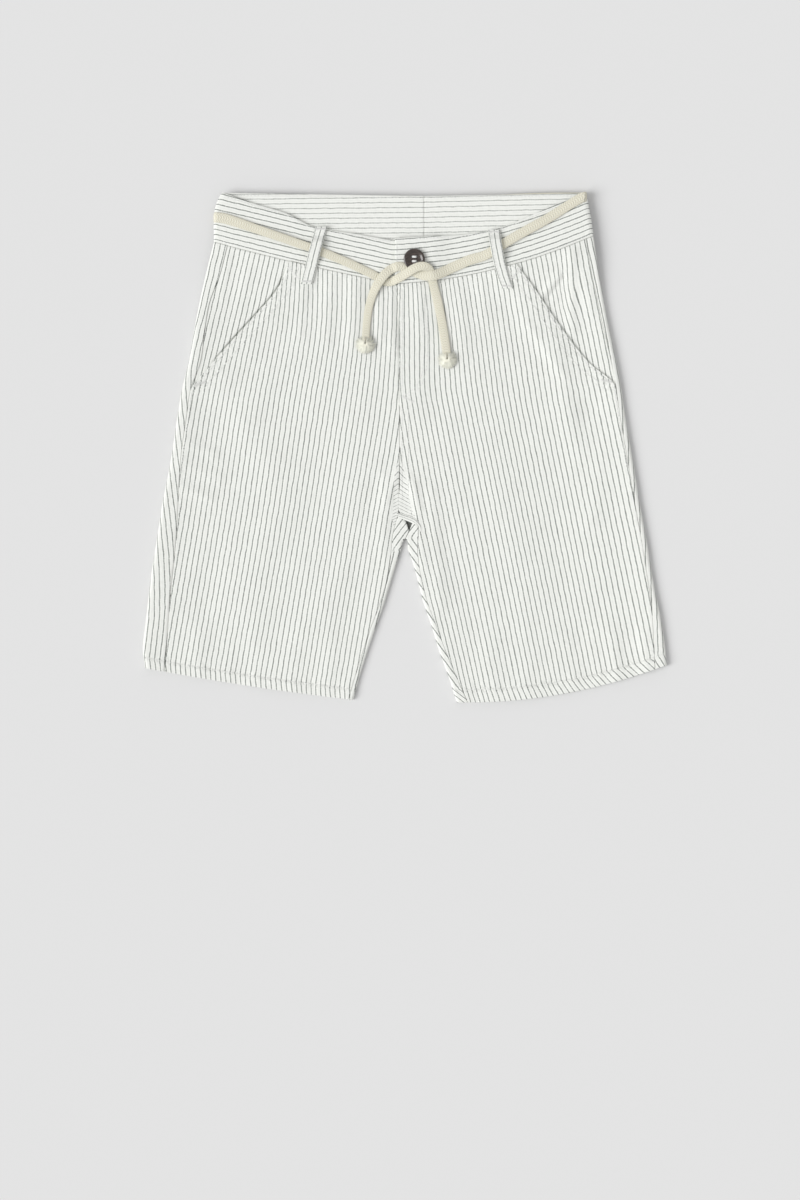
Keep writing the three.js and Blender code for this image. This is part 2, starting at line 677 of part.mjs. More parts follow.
const endRight = table(routeColumns, [
  [2.65, 136.8, 0, 0.8], [-0.85, 138.9, 0, 0.8], [-4.5, 141.8, 0.15, 0.8], [-8, 143.3, 0.55, 0.8],
  [-12, 141.6, 0.95, 0.8], [-16, 137.6, 1, 0.8], [-19.5, 132.4, 1, 0.85], [-22.2, 126, 0.7, 0.9],
  [-24.2, 119, 0.25, 1], [-25.8, 111.5, 0, 1], [-27.6, 104, 0, 1], [-29, 97, 0.1, 1],
  [-29.8, 92.5, 0.25, 1],
]);
const endLeft = table(routeColumns, [
  [24.75, 134.95, 0, 0.8], [26.5, 133.3, 0, 0.8], [27.9, 130, 0, 0.85], [28.4, 124, 0, 0.95],
  [29.4, 115, 0, 1], [30.6, 106, 0, 1],
  [31.8, 97, 0, 1], [32.8, 88, 0.1, 1], [33.4, 80.5, 0.25, 1],
]);

function frontStations(route) {
  return route.map(({ x, y, level, width }) => {
    const z = clothTop(x, y) + CORD_ON_CLOTH + level * CORD_ON_CORD;
    return { p: point(x, y, z), up: UP, width };
  });
}

// The cord's turn round the side of the waist, down to the back; side is -1 or 1
function sideTurn(x, y, side) {
  const high = clothTop(x, y) + CORD_ON_CLOTH;
  const low = WAIST_LIFT - CORD_ON_CLOTH;
  const radius = (high - low) / 2;
  const stations = [];
  for (let k = 1; k < 8; k += 1) {
    const angle = (Math.PI * k) / 8;
    const up = point(side * Math.sin(angle), 0, Math.cos(angle));
    const p = point(x + side * radius * Math.sin(angle), y, low + radius * (1 + Math.cos(angle)));
    stations.push({ p, up, width: 1 });
  }
  return stations;
}

function backRun(from, to) {
  const stations = [];
  const steps = 20;
  for (let k = 0; k <= steps; k += 1) {
    const s = k / steps;
    const x = lerp(from.x, to.x, s);
    const y = lerp(from.y, to.y, smoothstep(s, 0.05, 0.95));
    stations.push({ p: point(x, y, WAIST_LIFT - CORD_ON_CLOTH), up: point(0, 0, -1), width: 1 });
  }
  return stations;
}

function beltCord() {
  const rightSide = knotFromRight[knotFromRight.length - 1];
  const leftSide = knotFromLeft[0];
  return flatCord([
    ...frontStations(knotFromRight),
    ...sideTurn(rightSide.x, rightSide.y, -1),
    ...backRun(rightSide, leftSide),
    ...sideTurn(leftSide.x, leftSide.y, 1).reverse(),
    ...frontStations(knotFromLeft),
  ]);
}

// Knotted tip with a frayed end, turned from a profile and pressed flat
function cordTip(x, y, headingX, headingY, length, width) {
  const profile = [
    [0, 0], [0.3, 0.02], [0.62, 0.1], [0.92, 0.25], [1, 0.4], [0.88, 0.55], [0.62, 0.64],
    [0.6, 0.7], [0.74, 0.85], [0.82, 1], [0, 1],
  ].map(([radius, run]) => new THREE.Vector2((radius * width) / 2, run * length));
  const geometry = weld(new THREE.LatheGeometry(profile, 16));
  const press = new THREE.Matrix4().makeScale(1, 1, 0.6);
  const turn = new THREE.Matrix4().makeRotationZ(Math.atan2(headingY, headingX) - Math.PI / 2);
  const z = clothTop(x, y) + 0.4 + (width / 2) * 0.6;
  const move = new THREE.Matrix4().makeTranslation(x, y, z);
  geometry.applyMatrix4(move.multiply(turn).multiply(press));
  return geometry;
}

// A loop is a strip along a centre line, on a surface of its own
function beltLoop(centre, surface, normal) {
  const steps = 16;
  const grid = [];
  for (let i = 0; i <= steps; i += 1) {
    const s = i / steps;
    grid.push([-1, 0, 1].map((side) => {
      const x = centre(s).x + (side * LOOP_WIDTH) / 2;
      const { y } = centre(s);
      return { p: point(x, y, surface(centre(s).x, y)), n: normal };
    }));
  }
  return clothWall(grid, () => LOOP_WALL);
}

// Full over the cord, nothing 11 mm beside its middle
function overCord(distance) {
  return 1 - smoothstep(Math.abs(distance), 5, 11.5);
}

function frontLoop(topX, topY, lowX, lowY, bend, cordY) {
  const curve = new THREE.QuadraticBezierCurve(
    new THREE.Vector2(topX, topY),
    new THREE.Vector2((topX + lowX) / 2 + bend, (topY + lowY) / 2),
    new THREE.Vector2(lowX, lowY),
  );
  const surface = (x, y) => {
    const lift = CORD_THICKNESS + 0.3;
    const ground = Math.max(clothTop(x, y), clothTop(x - 5, y), clothTop(x + 5, y));
    return ground + 0.3 + LOOP_WALL + lift * overCord(y - cordY);
  };
  return beltLoop((s) => curve.getPoint(s), surface, UP);
}

function backLoop(x, cordY) {
  const surface = (_, y) => {
    const free = restLevel(y) - SEAM_GAP - LOOP_WALL;
    return lerp(free, 0, overCord(y - cordY));
  };
  const centre = (s) => new THREE.Vector2(x, lerp(200, 148, s));
  return beltLoop(centre, surface, point(0, 0, -1));
}

// Four-hole button with a rim and a sunk middle
function button() {
  const radius = BUTTON_DIAMETER / 2;
  const t = BUTTON_THICKNESS;
  const profile = [
    [0, 0], [radius * 0.55, 0], [radius * 0.94, t * 0.35], [radius, t * 0.62], [radius * 0.96, t * 0.88],
    [radius * 0.86, t], [radius * 0.74, t * 0.94], [radius * 0.6, t * 0.66], [0, t * 0.62],
  ].map(([x, y]) => new THREE.Vector2(x, y));
  let solid = toManifold(new THREE.LatheGeometry(profile, 32));
  for (const [x, z] of [[-1, -1], [1, -1], [1, 1], [-1, 1]]) {
    const hole = new THREE.CylinderGeometry(0.9, 0.9, 3 * t, 12);
    hole.translate(x * 1.75, t / 2, z * 1.75);
    solid = solid.subtract(toManifold(hole));
  }
  const geometry = fromManifold(solid);
  geometry.rotateX(Math.PI / 2);
  return geometry;
}

// Panels
for (const [name, leg] of Object.entries(legs)) {
  addMesh(`back_${name}`, backPanel(leg), COTTON, 0.9);
  addMesh(`pocket_facing_${name}`, pocketFacing(leg), COTTON, 0.9);
  addMesh(`front_${name}`, frontPanel(leg), COTTON, 0.9);
  addMesh(`waistband_${name}`, waistband(bands[name]), COTTON, 0.9);
}

// Loops: two on the front as shown, three plain ones on the back
addMesh("belt_loop_front_right", frontLoop(-66, 176, -78, 130.5, 0, 158), COTTON, 0.9);
addMesh("belt_loop_front_left", frontLoop(71.5, 173.5, 82.5, 127, -3.5, 159.5), COTTON, 0.9);
const backLoopPlaces = table(["name", "x"], [["right", -80], ["centre", 16], ["left", 82]]);
for (const { name, x } of backLoopPlaces) {
  const share = smoothstep((x + 147) / 291, 0.05, 0.95);
  addMesh(`belt_loop_back_${name}`, backLoop(x, lerp(182.5, 197.5, share)), COTTON, 0.9);
}

// Belt cord, its free ends and their tips
addMesh("belt_cord", beltCord(), CORD_COLOUR, 0.95);
addMesh("cord_end_right", flatCord(frontStations(endRight)), CORD_COLOUR, 0.95);
addMesh("cord_end_left", flatCord(frontStations(endLeft)), CORD_COLOUR, 0.95);
addMesh("cord_tip_right", cordTip(-30, 92, -0.12, -1, 15.5, 14.5), CORD_COLOUR, 0.95);
addMesh("cord_tip_left", cordTip(33.5, 80, 0.1, -1, 14.5, 13), CORD_COLOUR, 0.95);

// Button on the overlap of the band, tilted like the cloth under it
const buttonMesh = addMesh("button", button(), HORN, 0.25);
const BUTTON_X = 8;
const BUTTON_Y = 150;
const buttonSlope = (clothTop(BUTTON_X, BUTTON_Y + 8) - clothTop(BUTTON_X, BUTTON_Y - 8)) / 16;
buttonMesh.position.set(BUTTON_X, BUTTON_Y, clothTop(BUTTON_X, BUTTON_Y) + 0.45);
buttonMesh.rotation.x = Math.atan(buttonSlope);

shorts.position.x = -CENTRE_X;

export default shorts;
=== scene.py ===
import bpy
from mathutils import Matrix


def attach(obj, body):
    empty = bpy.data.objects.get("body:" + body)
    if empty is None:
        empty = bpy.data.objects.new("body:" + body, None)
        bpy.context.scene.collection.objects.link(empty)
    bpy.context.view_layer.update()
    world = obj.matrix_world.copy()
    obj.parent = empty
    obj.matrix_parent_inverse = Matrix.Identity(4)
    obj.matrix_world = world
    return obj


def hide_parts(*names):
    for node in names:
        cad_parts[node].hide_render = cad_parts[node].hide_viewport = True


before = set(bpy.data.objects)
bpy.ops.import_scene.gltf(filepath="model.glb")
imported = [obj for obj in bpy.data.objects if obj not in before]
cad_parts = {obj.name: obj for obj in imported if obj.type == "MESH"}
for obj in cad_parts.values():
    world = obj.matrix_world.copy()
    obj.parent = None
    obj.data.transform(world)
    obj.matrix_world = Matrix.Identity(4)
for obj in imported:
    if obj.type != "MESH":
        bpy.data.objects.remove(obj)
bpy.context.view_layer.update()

import math
import random
from functools import partial
from types import SimpleNamespace

import bpy
import numpy as np
from mathutils import Vector

bl_info = {
    "name": "Striped bermuda shorts",
    "version": (1, 0, 0),
    "blender": (4, 5, 0),
    "location": "View3D > Sidebar > Shorts",
    "description": "Striped cotton bermuda shorts with a cord belt, laid flat with the front up",
    "category": "Add Mesh",
}

MM = 0.001

# Sizes in millimetres; those of the layers, folds and edges follow the solids
PANEL_WALL = 1.2
BAND_WALL = 1.5
LOOP_WALL = 1.0
HEM_EXTRA = 0.6
LAYER_STEP = 1.8
WAIST_LIFT = 5.0
LIFT_TOP_Y = 164
LIFT_LENGTH = 56
CORD_WIDTH = 8.2
CORD_THICKNESS = 3.2
LOOP_WIDTH = 9.5
BUTTON_RADIUS = 8.5
BUTTON_THICKNESS = 3
BAND_OVERLAP_END_X = 22.5
FLY_UNDERLAP = 12
POCKET_UNDERLAP = 12
FACING_END_ROW = 4.97
POCKET_END_ROW = 5
INNER_FOLD_ROW = 7.6
LAST_ROW = 16
CENTRE_X = 0.5
FLY_X = -5
TOP_LAYER = LAYER_STEP + PANEL_WALL
PUFF_MIDDLE = 0.6
PUFF_SIDE_FOLD = 2.2
PUFF_INNER_FOLD = 1.0
PUFF_WAIST = 0.4
SIDE_PUFF_REACH = 14
INNER_PUFF_REACH = 10
RAISED_EDGE = 0.9
SUNK_EDGE = 0.6
OVERLAP_FULL = 13
OVERLAP_FADED = 32
INSEAM_FROM_ROW = 8.6
HEM_ROW = 15.5
FLY_END_ROW = 4.2
CORD_ON_CLOTH = CORD_THICKNESS / 2 + 0.25
CORD_ON_CORD = CORD_THICKNESS + 0.35

# How thin the cloth shows
CLOTH_WALL = 0.9
FACING_SHOWN = 0.8
BAND_SHOWN = 1.3
LOOP_SHOWN = 0.9

# Sewn pieces nearly touch at their seams
SEAM_GAP = 0.06

# Stitches: their radius, and how far the pocket mouth's two rows lie from its edge
STITCH_RADIUS = 0.24
MOUTH_ROWS = (2.2, 8.8)


def table(names, rows):
    return dict(zip(names, np.array(rows, float).T))


LEG_COLUMNS = ("row", "outer_x", "outer_y", "seam_x", "mouth_x", "inner_x", "inner_y")
SEAT_COLUMNS = ("row", "fold_x", "fold_y", "end_x", "end_y", "turn", "out_x", "out_y")


def seat_table(way, crotch, inseam):
    """Rows round the crotch, then plain ones whose fold rolls straight over to the inseam."""
    plain = [(row, x, y, 0, 0, 1, way, 0) for row, x, y in inseam]
    return table(SEAT_COLUMNS, [*crotch, *plain])


# Each leg is sewn from rows that run from the outer fold to the fly or the inseam
RIGHT_ROWS = table(LEG_COLUMNS, [
    (0, -152, 164, -141, -91.5, -5, 130.5),
    (1, -158, 141, -147, -101, -4.5, 107.5),
    (2, -163.5, 117.5, -155.5, -118, -4, 85),
    (3, -168, 94.5, -159.5, -136, -4, 62.5),
    (4, -172, 71, -162.5, -153.5, -3.5, 39.5),
    (5, -177.5, 48, -170.5, -170.5, -3.5, 17),
    (6, -181.5, 25, -174, -174, -3.5, -5.5),
    (7, -185, 1, -177.5, -177.5, -4, -28.5),
    (8, -189, -22.5, -179.5, -179.5, -4.5, -51),
    (9, -193, -41.5, -180.5, -180.5, -9, -69.5),
    (10, -196, -61, -181.5, -181.5, -11, -88),
    (11, -199, -80, -183, -183, -14, -107),
    (12, -202, -99, -185, -185, -20, -126.5),
    (13, -204.5, -118.5, -187, -187, -27, -145),
    (14, -206.5, -137.5, -188.5, -188.5, -33.5, -165),
    (15, -209, -158.5, -190, -190, -39.5, -184),
    (16, -207, -176, -191.5, -191.5, -44.5, -201),
])
LEFT_ROWS = table(LEG_COLUMNS, [
    (0, 151, 169, 145.5, 89.5, -5, 131),
    (1, 154.6, 145, 149, 104.5, -4.5, 108),
    (2, 159, 121.5, 154, 118.2, -4, 85),
    (3, 163.5, 98, 159, 132.3, -4, 62.5),
    (4, 168.5, 74.5, 164.5, 148.5, -3.5, 39.5),
    (5, 173, 51, 169, 169, -3.5, 17),
    (6, 176.5, 27, 172.5, 172.5, -3.5, -5.5),
    (7, 180.5, 3.5, 176.5, 176.5, -3.5, -28.5),
    (8, 184.5, -20, 180.5, 180.5, -4, -51),
    (8.5, 186, -29.5, 182, 182, 6.5, -55),
    (9, 187.5, -39, 183.5, 183.5, 11.2, -62),
    (10, 191, -58.5, 187, 187, 10.8, -82.5),
    (11, 194.5, -77.5, 190.5, 190.5, 13.4, -103),
    (12, 197.5, -97, 193.5, 193.5, 18.5, -123),
    (13, 201, -116, 196.5, 196.5, 26, -143),
    (14, 205, -135, 198.5, 198.5, 33.5, -163),
    (15, 208, -154.5, 199.5, 199.5, 42, -183),
    (16, 210, -173.5, 200.5, 200.5, 51, -203.5),
])

# The back panel's inner side: flat up to the seat seam, and rolled over the inner fold below
RIGHT_SEAT = seat_table(1, [
    (0, 6, 164.5, 15.97, 165, 0, 1, 0),
    (7, -8, -53, 1.35, -53.5, 0, 1, 0),
    (7.3, -5.5, -65.5, 0.45, -66, 0, 1, 0),
    (7.5, -2.2, -71.5, 0, 0, 0.5, 0.5, -0.87),
    (7.65, -1.3, -73.2, 0.8, -72.6, 1, 0.3, -0.95),
    (7.8, -1.5, -73.4, 3.8, -66, 1, 0.3, -0.95),
    (7.9, -2, -73.6, 1.2, -58.8, 1, 0.3, -0.95),
    (8, -2.4, -74, -4.4, -53, 1, 0.4, -0.9),
    (8.5, -3, -75.5, -6.3, -58.3, 1, 0.6, -0.8),
    (9, -4, -79, 0, 0, 1, 0.95, -0.3),
], [
    (9.5, -5.6, -84), (10, -7.5, -89.5), (11, -12.5, -106), (12, -18.5, -126),
    (13, -25.5, -145), (14, -32, -164.5), (15, -38, -183.5), (16, -43, -201.5),
])
LEFT_SEAT = seat_table(-1, [
    (0, 26, 164.5, 16.03, 165, 0, -1, 0),
    (7, 10.5, -53, 1.65, -53.5, 0, -1, 0),
    (7.3, 7, -65.5, 0.75, -66, 0, -1, 0),
    (7.5, 3.4, -71.5, 0, 0, 0.5, -0.5, -0.87),
    (7.65, 2.9, -73.4, 1.15, -72.6, 1, -0.3, -0.95),
    (7.8, 3.2, -73.6, 4.15, -66, 1, -0.3, -0.95),
    (7.9, 3.6, -74, 6.4, -60.2, 1, -0.3, -0.95),
    (8, 4, -74.8, 9, -59.2, 1, -0.5, -0.87),
    (8.5, 4.2, -77, 9.6, -61.5, 1, -0.8, -0.6),
    (9, 4.8, -81, 0, 0, 1, -1, 0),
], [
    (9.5, 6.2, -85), (10, 8, -89.5), (11, 12, -103), (12, 17, -123),
    (13, 24, -143), (14, 30, -163), (15, 37.5, -183), (16, 44, -203.5),
])

# Where chosen stripes run on the two front panels: their X at several heights Y
RIGHT_STRIPES = table(("y", "a", "b", "c", "d"), [
    (-177.6, -183.9, -118.3, -84.7, -45.5),
    (-57.6, -163.5, -97.5, -65.5, -25.5),
    (34.4, -149.5, -83.9, -51.1, -10.3),
    (94.4, -136.7, -74.3, -43.1, -6.3),
    (142.4, -126.3, -72.7, -41.5, -5.5),
])
LEFT_STRIPES = table(("y", "a", "b", "c", "d", "e", "f"), [
    (-177.6, 46.5, 61.7, 95.3, 128.1, 161.7, 198.5),
    (-57.6, 19.3, 36.1, 70.9, 103.6, 137.7, 173.6),
    (34.4, 2.5, 18.5, 52.1, 84.9, 119.3, 154.5),
    (50, 0.7, 16.3, 49.6, 82.4, 116.8, 151.2),
    (94.4, 0.1, 16.1, 44.9, 76.1, 109.7, 141.7),
    (142.4, 0.1, 12.1, 37.7, 68.9, 100.9, 136.1),
])
# How far the stripes of the back panels drift along the side strips
RIGHT_STRIP = table(("y", "shift"), [
    (-193.6, 9.6), (-161.6, 13.6), (-129.6, 16.8), (-78.4, 15.2), (6.4, 4.8), (38, 1), (60, 0.5),
    (84, 5), (110, 11.5), (164, 24.5),
])
LEFT_STRIP = table(("y", "shift"), [
    (-193.6, 4), (-129.6, 2), (6.4, 0), (40, -1), (60, -4), (110, -13), (164, -25),
])

LEGS = {
    "right": SimpleNamespace(
        side=-1, bulge=1.5, rows=RIGHT_ROWS, seat=RIGHT_SEAT, stripes=RIGHT_STRIPES,
        stripe_numbers=(0, 16, 24, 34), strip=RIGHT_STRIP, facing_lean=0.233, groove=1.8,
    ),
    "left": SimpleNamespace(
        side=1, bulge=7.5, rows=LEFT_ROWS, seat=LEFT_SEAT, stripes=LEFT_STRIPES,
        stripe_numbers=(0, 4, 12, 20, 28, 36), strip=LEFT_STRIP, facing_lean=-0.2, groove=0.2,
    ),
}

# Folds of the top layer, each a ridge (or a trough below 0) from one point to another.
FOLD_COLUMNS = ("from_x", "from_y", "to_x", "to_y", "height", "half_width")
FOLDS = table(FOLD_COLUMNS, [
    (-10.5, 126, -9.5, 80, 1.2, 4),
    (-15, -25, -17, -85, 0.8, 5),
    (-176, 6, -152, -5, 0.8, 4.5),
    (-178, -12, -148, -24, 0.7, 4.5),
    (-177, -32, -155, -40, 0.6, 4),
    (-59.5, 134, -62.5, 84, 0.7, 6),
    (-108, 60, -130, 20, 0.6, 9),
    (-163.5, -150, -165.5, -187, 0.6, 8),
    (-85, -140, -90, -192, 0.5, 9),
    (120.5, 82.5, 136.5, 6.5, 1.1, 9),
    (133.5, 154.5, 133.5, 94.5, 1.1, 5),
    (127.5, 136.5, 114.5, 119, -1.4, 1.5),
    (123.5, 136.5, 110.5, 121.5, 1.1, 3),
    (44.5, 122, 47, 76, 0.6, 6),
    (21, -33, 29, -125, 0.9, 6),
    (166, -150, 171, -188, 0.9, 7),
    (190, -145, 194, -180, 0.8, 5),
    (95, -120, 101, -196, 0.5, 9),
    (-19.5, 127, -18, 86, 1.2, 5),
    (-29, 126, -30, 96, -0.52, 3.5),
    (-40, 130, -43, 84, 0.95, 6),
    (-80, 128, -84, 92, 0.52, 5),
    (-104, 112, -124, 84, 0.6, 4),
    (-112, 98, -136, 66, -0.52, 5),
    (-124, 140, -132, 116, 0.6, 5),
    (-140, 150, -146, 122, 0.52, 4),
    (-140, 44, -104, -20, 0.52, 12),
    (-164, 34, -128, 30, -0.45, 7),
    (-24, -30, -40, -100, -0.52, 7),
    (-30, -66, -74, -150, 0.6, 12),
    (-60, 10, -78, -70, -0.45, 14),
    (-110, -60, -124, -150, 0.52, 13),
    (-150, -70, -158, -130, -0.52, 10),
    (-128, -150, -132, -190, -0.45, 7),
    (-58, -150, -62, -194, 0.52, 7),
    (12, 122, 13, 92, 0.52, 4),
    (27, 128, 28, 96, -0.45, 4),
    (62, 130, 64, 104, 0.52, 5),
    (84, 116, 88, 84, -0.45, 6),
    (98, 100, 128, 56, 0.6, 4),
    (108, 126, 128, 96, -0.52, 5),
    (142, 140, 150, 104, 0.6, 5),
    (148, 30, 120, -24, -0.52, 9),
    (160, 0, 150, -60, 0.6, 8),
    (34, 20, 44, -46, 0.45, 12),
    (32, -66, 62, -150, -0.52, 10),
    (70, -20, 92, -100, 0.52, 14),
    (120, -60, 132, -140, -0.45, 13),
    (140, -150, 146, -192, -0.52, 7),
    (66, -150, 72, -196, 0.52, 8),
    (8, -30, 16, -96, 0.9, 5),
    (-6, -20, -14, -44, 0.75, 3),
    (4, -22, 12, -48, 0.75, 3),
])

# Low unevenness of cloth that was folded and pressed: wavelength, direction, height and phase
UNEVENNESS = (
    (58, 20, 0.12, 0.4),
    (41, 105, 0.1, 2.1),
    (33, -35, 0.09, 4.4),
    (24, 68, 0.07, 1.3),
    (17, 150, 0.05, 3.2),
)


def smoothstep(x, low, high):
    u = np.clip((x - low) / (high - low), 0, 1)
    return u * u * (3 - 2 * u)


def lerp(a, b, u):
    return a + (b - a) * u


def lengths(ways):
    return np.linalg.norm(ways, axis=-1)


def unit(ways):
    return ways / lengths(ways)[..., None]


def running(steps):
    """How far each place lies from the first, from the steps between them."""
    return np.concatenate([[0], np.cumsum(steps)])


def facing_up(points):
    return np.broadcast_to([0.0, 0.0, 1.0], points.shape)


def curve(knots, values, at):
    """Smooth curve through the values, running straight on beyond its ends."""
    at = np.asarray(at, float)
    i = np.clip(np.searchsorted(knots, at, side="left") - 1, 0, len(knots) - 2)
    slopes = np.empty(len(knots))
    slopes[1:-1] = (values[2:] - values[:-2]) / (knots[2:] - knots[:-2])
    slopes[0] = (values[1] - values[0]) / (knots[1] - knots[0])
    slopes[-1] = (values[-1] - values[-2]) / (knots[-1] - knots[-2])
    span = knots[i + 1] - knots[i]
    u = np.clip((at - knots[i]) / span, 0, 1)
    ease = u * u * (3 - 2 * u)
    inside = values[i] + (values[i + 1] - values[i]) * ease
    inside += span * (slopes[i] * u * (1 - u) ** 2 - slopes[i + 1] * u * u * (1 - u))
    below = np.minimum(at - knots[0], 0) * slopes[0]
    above = np.maximum(at - knots[-1], 0) * slopes[-1]
    return inside + below + above


def rest_level(y):
    """Underside of the lowest layer: it comes down to the table below the waistband."""
    return WAIST_LIFT * smoothstep(y, LIFT_TOP_Y - LIFT_LENGTH, LIFT_TOP_Y)


def near_edge(distance, reach):
    return np.exp(-((np.maximum(distance, 0) / reach) ** 2))


def fold_height(x, y):
    height = np.zeros(np.broadcast(x, y).shape)
    for from_x, from_y, to_x, to_y, ridge, half_width in zip(*(FOLDS[name] for name in FOLD_COLUMNS)):
        dx, dy = to_x - from_x, to_y - from_y
        share = np.clip(((x - from_x) * dx + (y - from_y) * dy) / (dx * dx + dy * dy), 0, 1)
        distance = np.hypot(x - from_x - dx * share, y - from_y - dy * share)
        height = height + ridge * near_edge(distance, half_width)
    for wavelength, direction, swing, phase in UNEVENNESS:
        angle = math.radians(direction)
        along = x * math.cos(angle) + y * math.sin(angle)
        height = height + swing * np.sin(2 * math.pi * along / wavelength + phase)
    return height


def hem_extra(t):
    return HEM_EXTRA * smoothstep(t, HEM_ROW - 0.04, HEM_ROW + 0.06)


def side_fold_height(t):
    return TOP_LAYER + lerp(PUFF_WAIST, PUFF_SIDE_FOLD, smoothstep(t, 0, 3)) + hem_extra(t) / 2


def inner_fold_height(t):
    return TOP_LAYER + PUFF_INNER_FOLD + hem_extra(t) / 2


def leg_row(leg, t):
    """The places of one row of a leg."""
    at = {name: float(curve(leg.rows["row"], leg.rows[name], t)) for name in LEG_COLUMNS[1:]}
    seat = {name: float(np.interp(t, leg.seat["row"], leg.seat[name])) for name in SEAT_COLUMNS[1:]}
    row = SimpleNamespace(t=t, side=leg.side, bulge=leg.bulge, turn=seat["turn"])
    row.outer = (at["outer_x"], at["outer_y"])
    row.inner = (at["inner_x"], at["inner_y"])
    row.seam_x = at["seam_x"]
    row.mouth_x = at["mouth_x"] if t < POCKET_END_ROW else row.seam_x
    row.fold = (seat["fold_x"], seat["fold_y"])
    length = math.hypot(seat["out_x"], seat["out_y"])
    row.out = (seat["out_x"] / length, seat["out_y"] / length)
    inseam = (row.inner[0] - leg.side * SEAM_GAP, row.inner[1])
    row.end = inseam if t > INSEAM_FROM_ROW else (seat["end_x"], seat["end_y"])
    return row


def on_row(row, x):
    """Y of the row's line at an X."""
    s = (x - row.outer[0]) / (row.inner[0] - row.outer[0])
    return lerp(row.outer[1], row.inner[1], s) - row.bulge * 4 * s * (1 - s)


def top_height(row, x, y):
    """Height of the top layer over the table at points of a row."""
    extra = hem_extra(row.t) / 2
    from_side = np.abs(x - row.outer[0]) - side_fold_height(row.t) / 2
    far = 1000 + 0 * from_side
    from_inner = np.hypot(x - row.fold[0], y - row.fold[1]) if row.t > INNER_FOLD_ROW else far
    side_rise = side_fold_height(row.t) - TOP_LAYER - PUFF_MIDDLE - extra
    rise = side_rise * near_edge(from_side, SIDE_PUFF_REACH)
    rise = rise + (PUFF_INNER_FOLD - PUFF_MIDDLE) * near_edge(from_inner, INNER_PUFF_REACH)
    clear = smoothstep(np.minimum(from_side, from_inner), 0, 7)
    level = rest_level(y) + TOP_LAYER + PUFF_MIDDLE + extra
    return level + rise + clear * fold_height(x, y)


def overlap_at(distance, t, last_row):
    """How much an overlapping edge is in force: full at the edge, nothing well behind it."""
    across = 1 - smoothstep(distance, OVERLAP_FULL, OVERLAP_FADED)
    return across * (1 - smoothstep(t, last_row, last_row + 0.7))


def front_top(leg, row, x, y):
    """Top of a front panel, raised at the pocket mouth and at the fly."""
    pocket = overlap_at(np.abs(x - row.mouth_x), row.t, 4.7)
    fly = overlap_at(np.abs(x - row.inner[0]), row.t, 4.6)
    fly_rise = RAISED_EDGE if leg.side > 0 else -SUNK_EDGE
    return top_height(row, x, y) + RAISED_EDGE * pocket + fly_rise * fly


def row_through(leg, x, y):
    """The row of a leg that runs through a point, found by halving."""
    upper, lower = 0.0, float(LAST_ROW)
    for _ in range(14):
        middle = (upper + lower) / 2
        if on_row(leg_row(leg, middle), x) > y:
            upper = middle
        else:
            lower = middle
    return leg_row(leg, (upper + lower) / 2)


def leg_at(x):
    return LEGS["right"] if x < FLY_X else LEGS["left"]


def waist_seam_y(x):
    leg = leg_at(x)
    return on_row(leg_row(leg, 0), x)


def band_surface(y):
    return rest_level(y) + LAYER_STEP + BAND_WALL + 0.1


def band_overlap(x):
    """The left band lies on the right one's end and comes down beyond it."""
    return LAYER_STEP * (1 - smoothstep(x, BAND_OVERLAP_END_X, BAND_OVERLAP_END_X + 17))


def cloth_top(x, y):
    """Top of whatever cloth lies at a point of the front, for what is laid on it."""
    leg = leg_at(x)
    panel = float(front_top(leg, row_through(leg, x, y), x, y))
    band = float(band_surface(y)) + (float(band_overlap(x)) if x > -8 else 0)
    waist = waist_seam_y(x)
    return float(lerp(panel, max(band, panel), smoothstep(y, waist - 6, waist - 1)))


def stripe_number(leg, x, y):
    """Which stripe of a front panel runs through a point, counted along the cloth."""
    names = [name for name in leg.stripes if name != "y"]
    lines = [curve(leg.stripes["y"], leg.stripes[name], y) for name in names]
    number = np.zeros(np.shape(x))
    for k in range(len(lines) - 1):
        share = (x - lines[k]) / (lines[k + 1] - lines[k])
        here = lerp(leg.stripe_numbers[k], leg.stripe_numbers[k + 1], share)
        number = np.where(x > lines[k], here, number) if k else here
    return number


# Mesh making


def all_deselected():
    if bpy.context.object and bpy.context.object.mode != "OBJECT":
        bpy.ops.object.mode_set(mode="OBJECT")
    bpy.ops.object.select_all(action="DESELECT")


def made_piece(name, points, faces, uv, finish, node=None, marks=None):
    """A shown piece from points in millimetres, faces that turn outwards and a place on the cloth."""
    places = (np.asarray(points, float) - (CENTRE_X, 0, 0)) * MM
    mesh = bpy.data.meshes.new(name)
    mesh.from_pydata(places.tolist(), [], [list(map(int, face)) for face in faces])
    mesh.update()
    corners = np.empty(len(mesh.loops), np.int32)
    mesh.loops.foreach_get("vertex_index", corners)
    layer = mesh.uv_layers.new(name="grain")
    layer.data.foreach_set("uv", np.asarray(uv, np.float32)[corners].ravel())
    for mark, values in (marks or {}).items():
        drawn = mesh.attributes.new(mark, "FLOAT", "POINT")
        drawn.data.foreach_set("value", np.asarray(values, np.float32))
    mesh.polygons.foreach_set("use_smooth", [True] * len(mesh.polygons))
    mesh.materials.append(finish)
    piece = bpy.data.objects.new(name, mesh)
    bpy.context.scene.collection.objects.link(piece)
    ridden(piece, node)
    return piece


def ridden(piece, node=None):
    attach(piece, "root")
    if node:
        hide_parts(node)


def outwards(points, faces):
    """Quads turned so that the closed surface faces outwards."""
    faces = np.asarray(faces)
    a, b, c, d = (points[faces[:, k]] for k in range(4))
    volume = np.einsum("ij,ij->i", a, np.cross(b, c)).sum()
    volume += np.einsum("ij,ij->i", a, np.cross(c, d)).sum()
    return faces if volume > 0 else faces[:, ::-1]


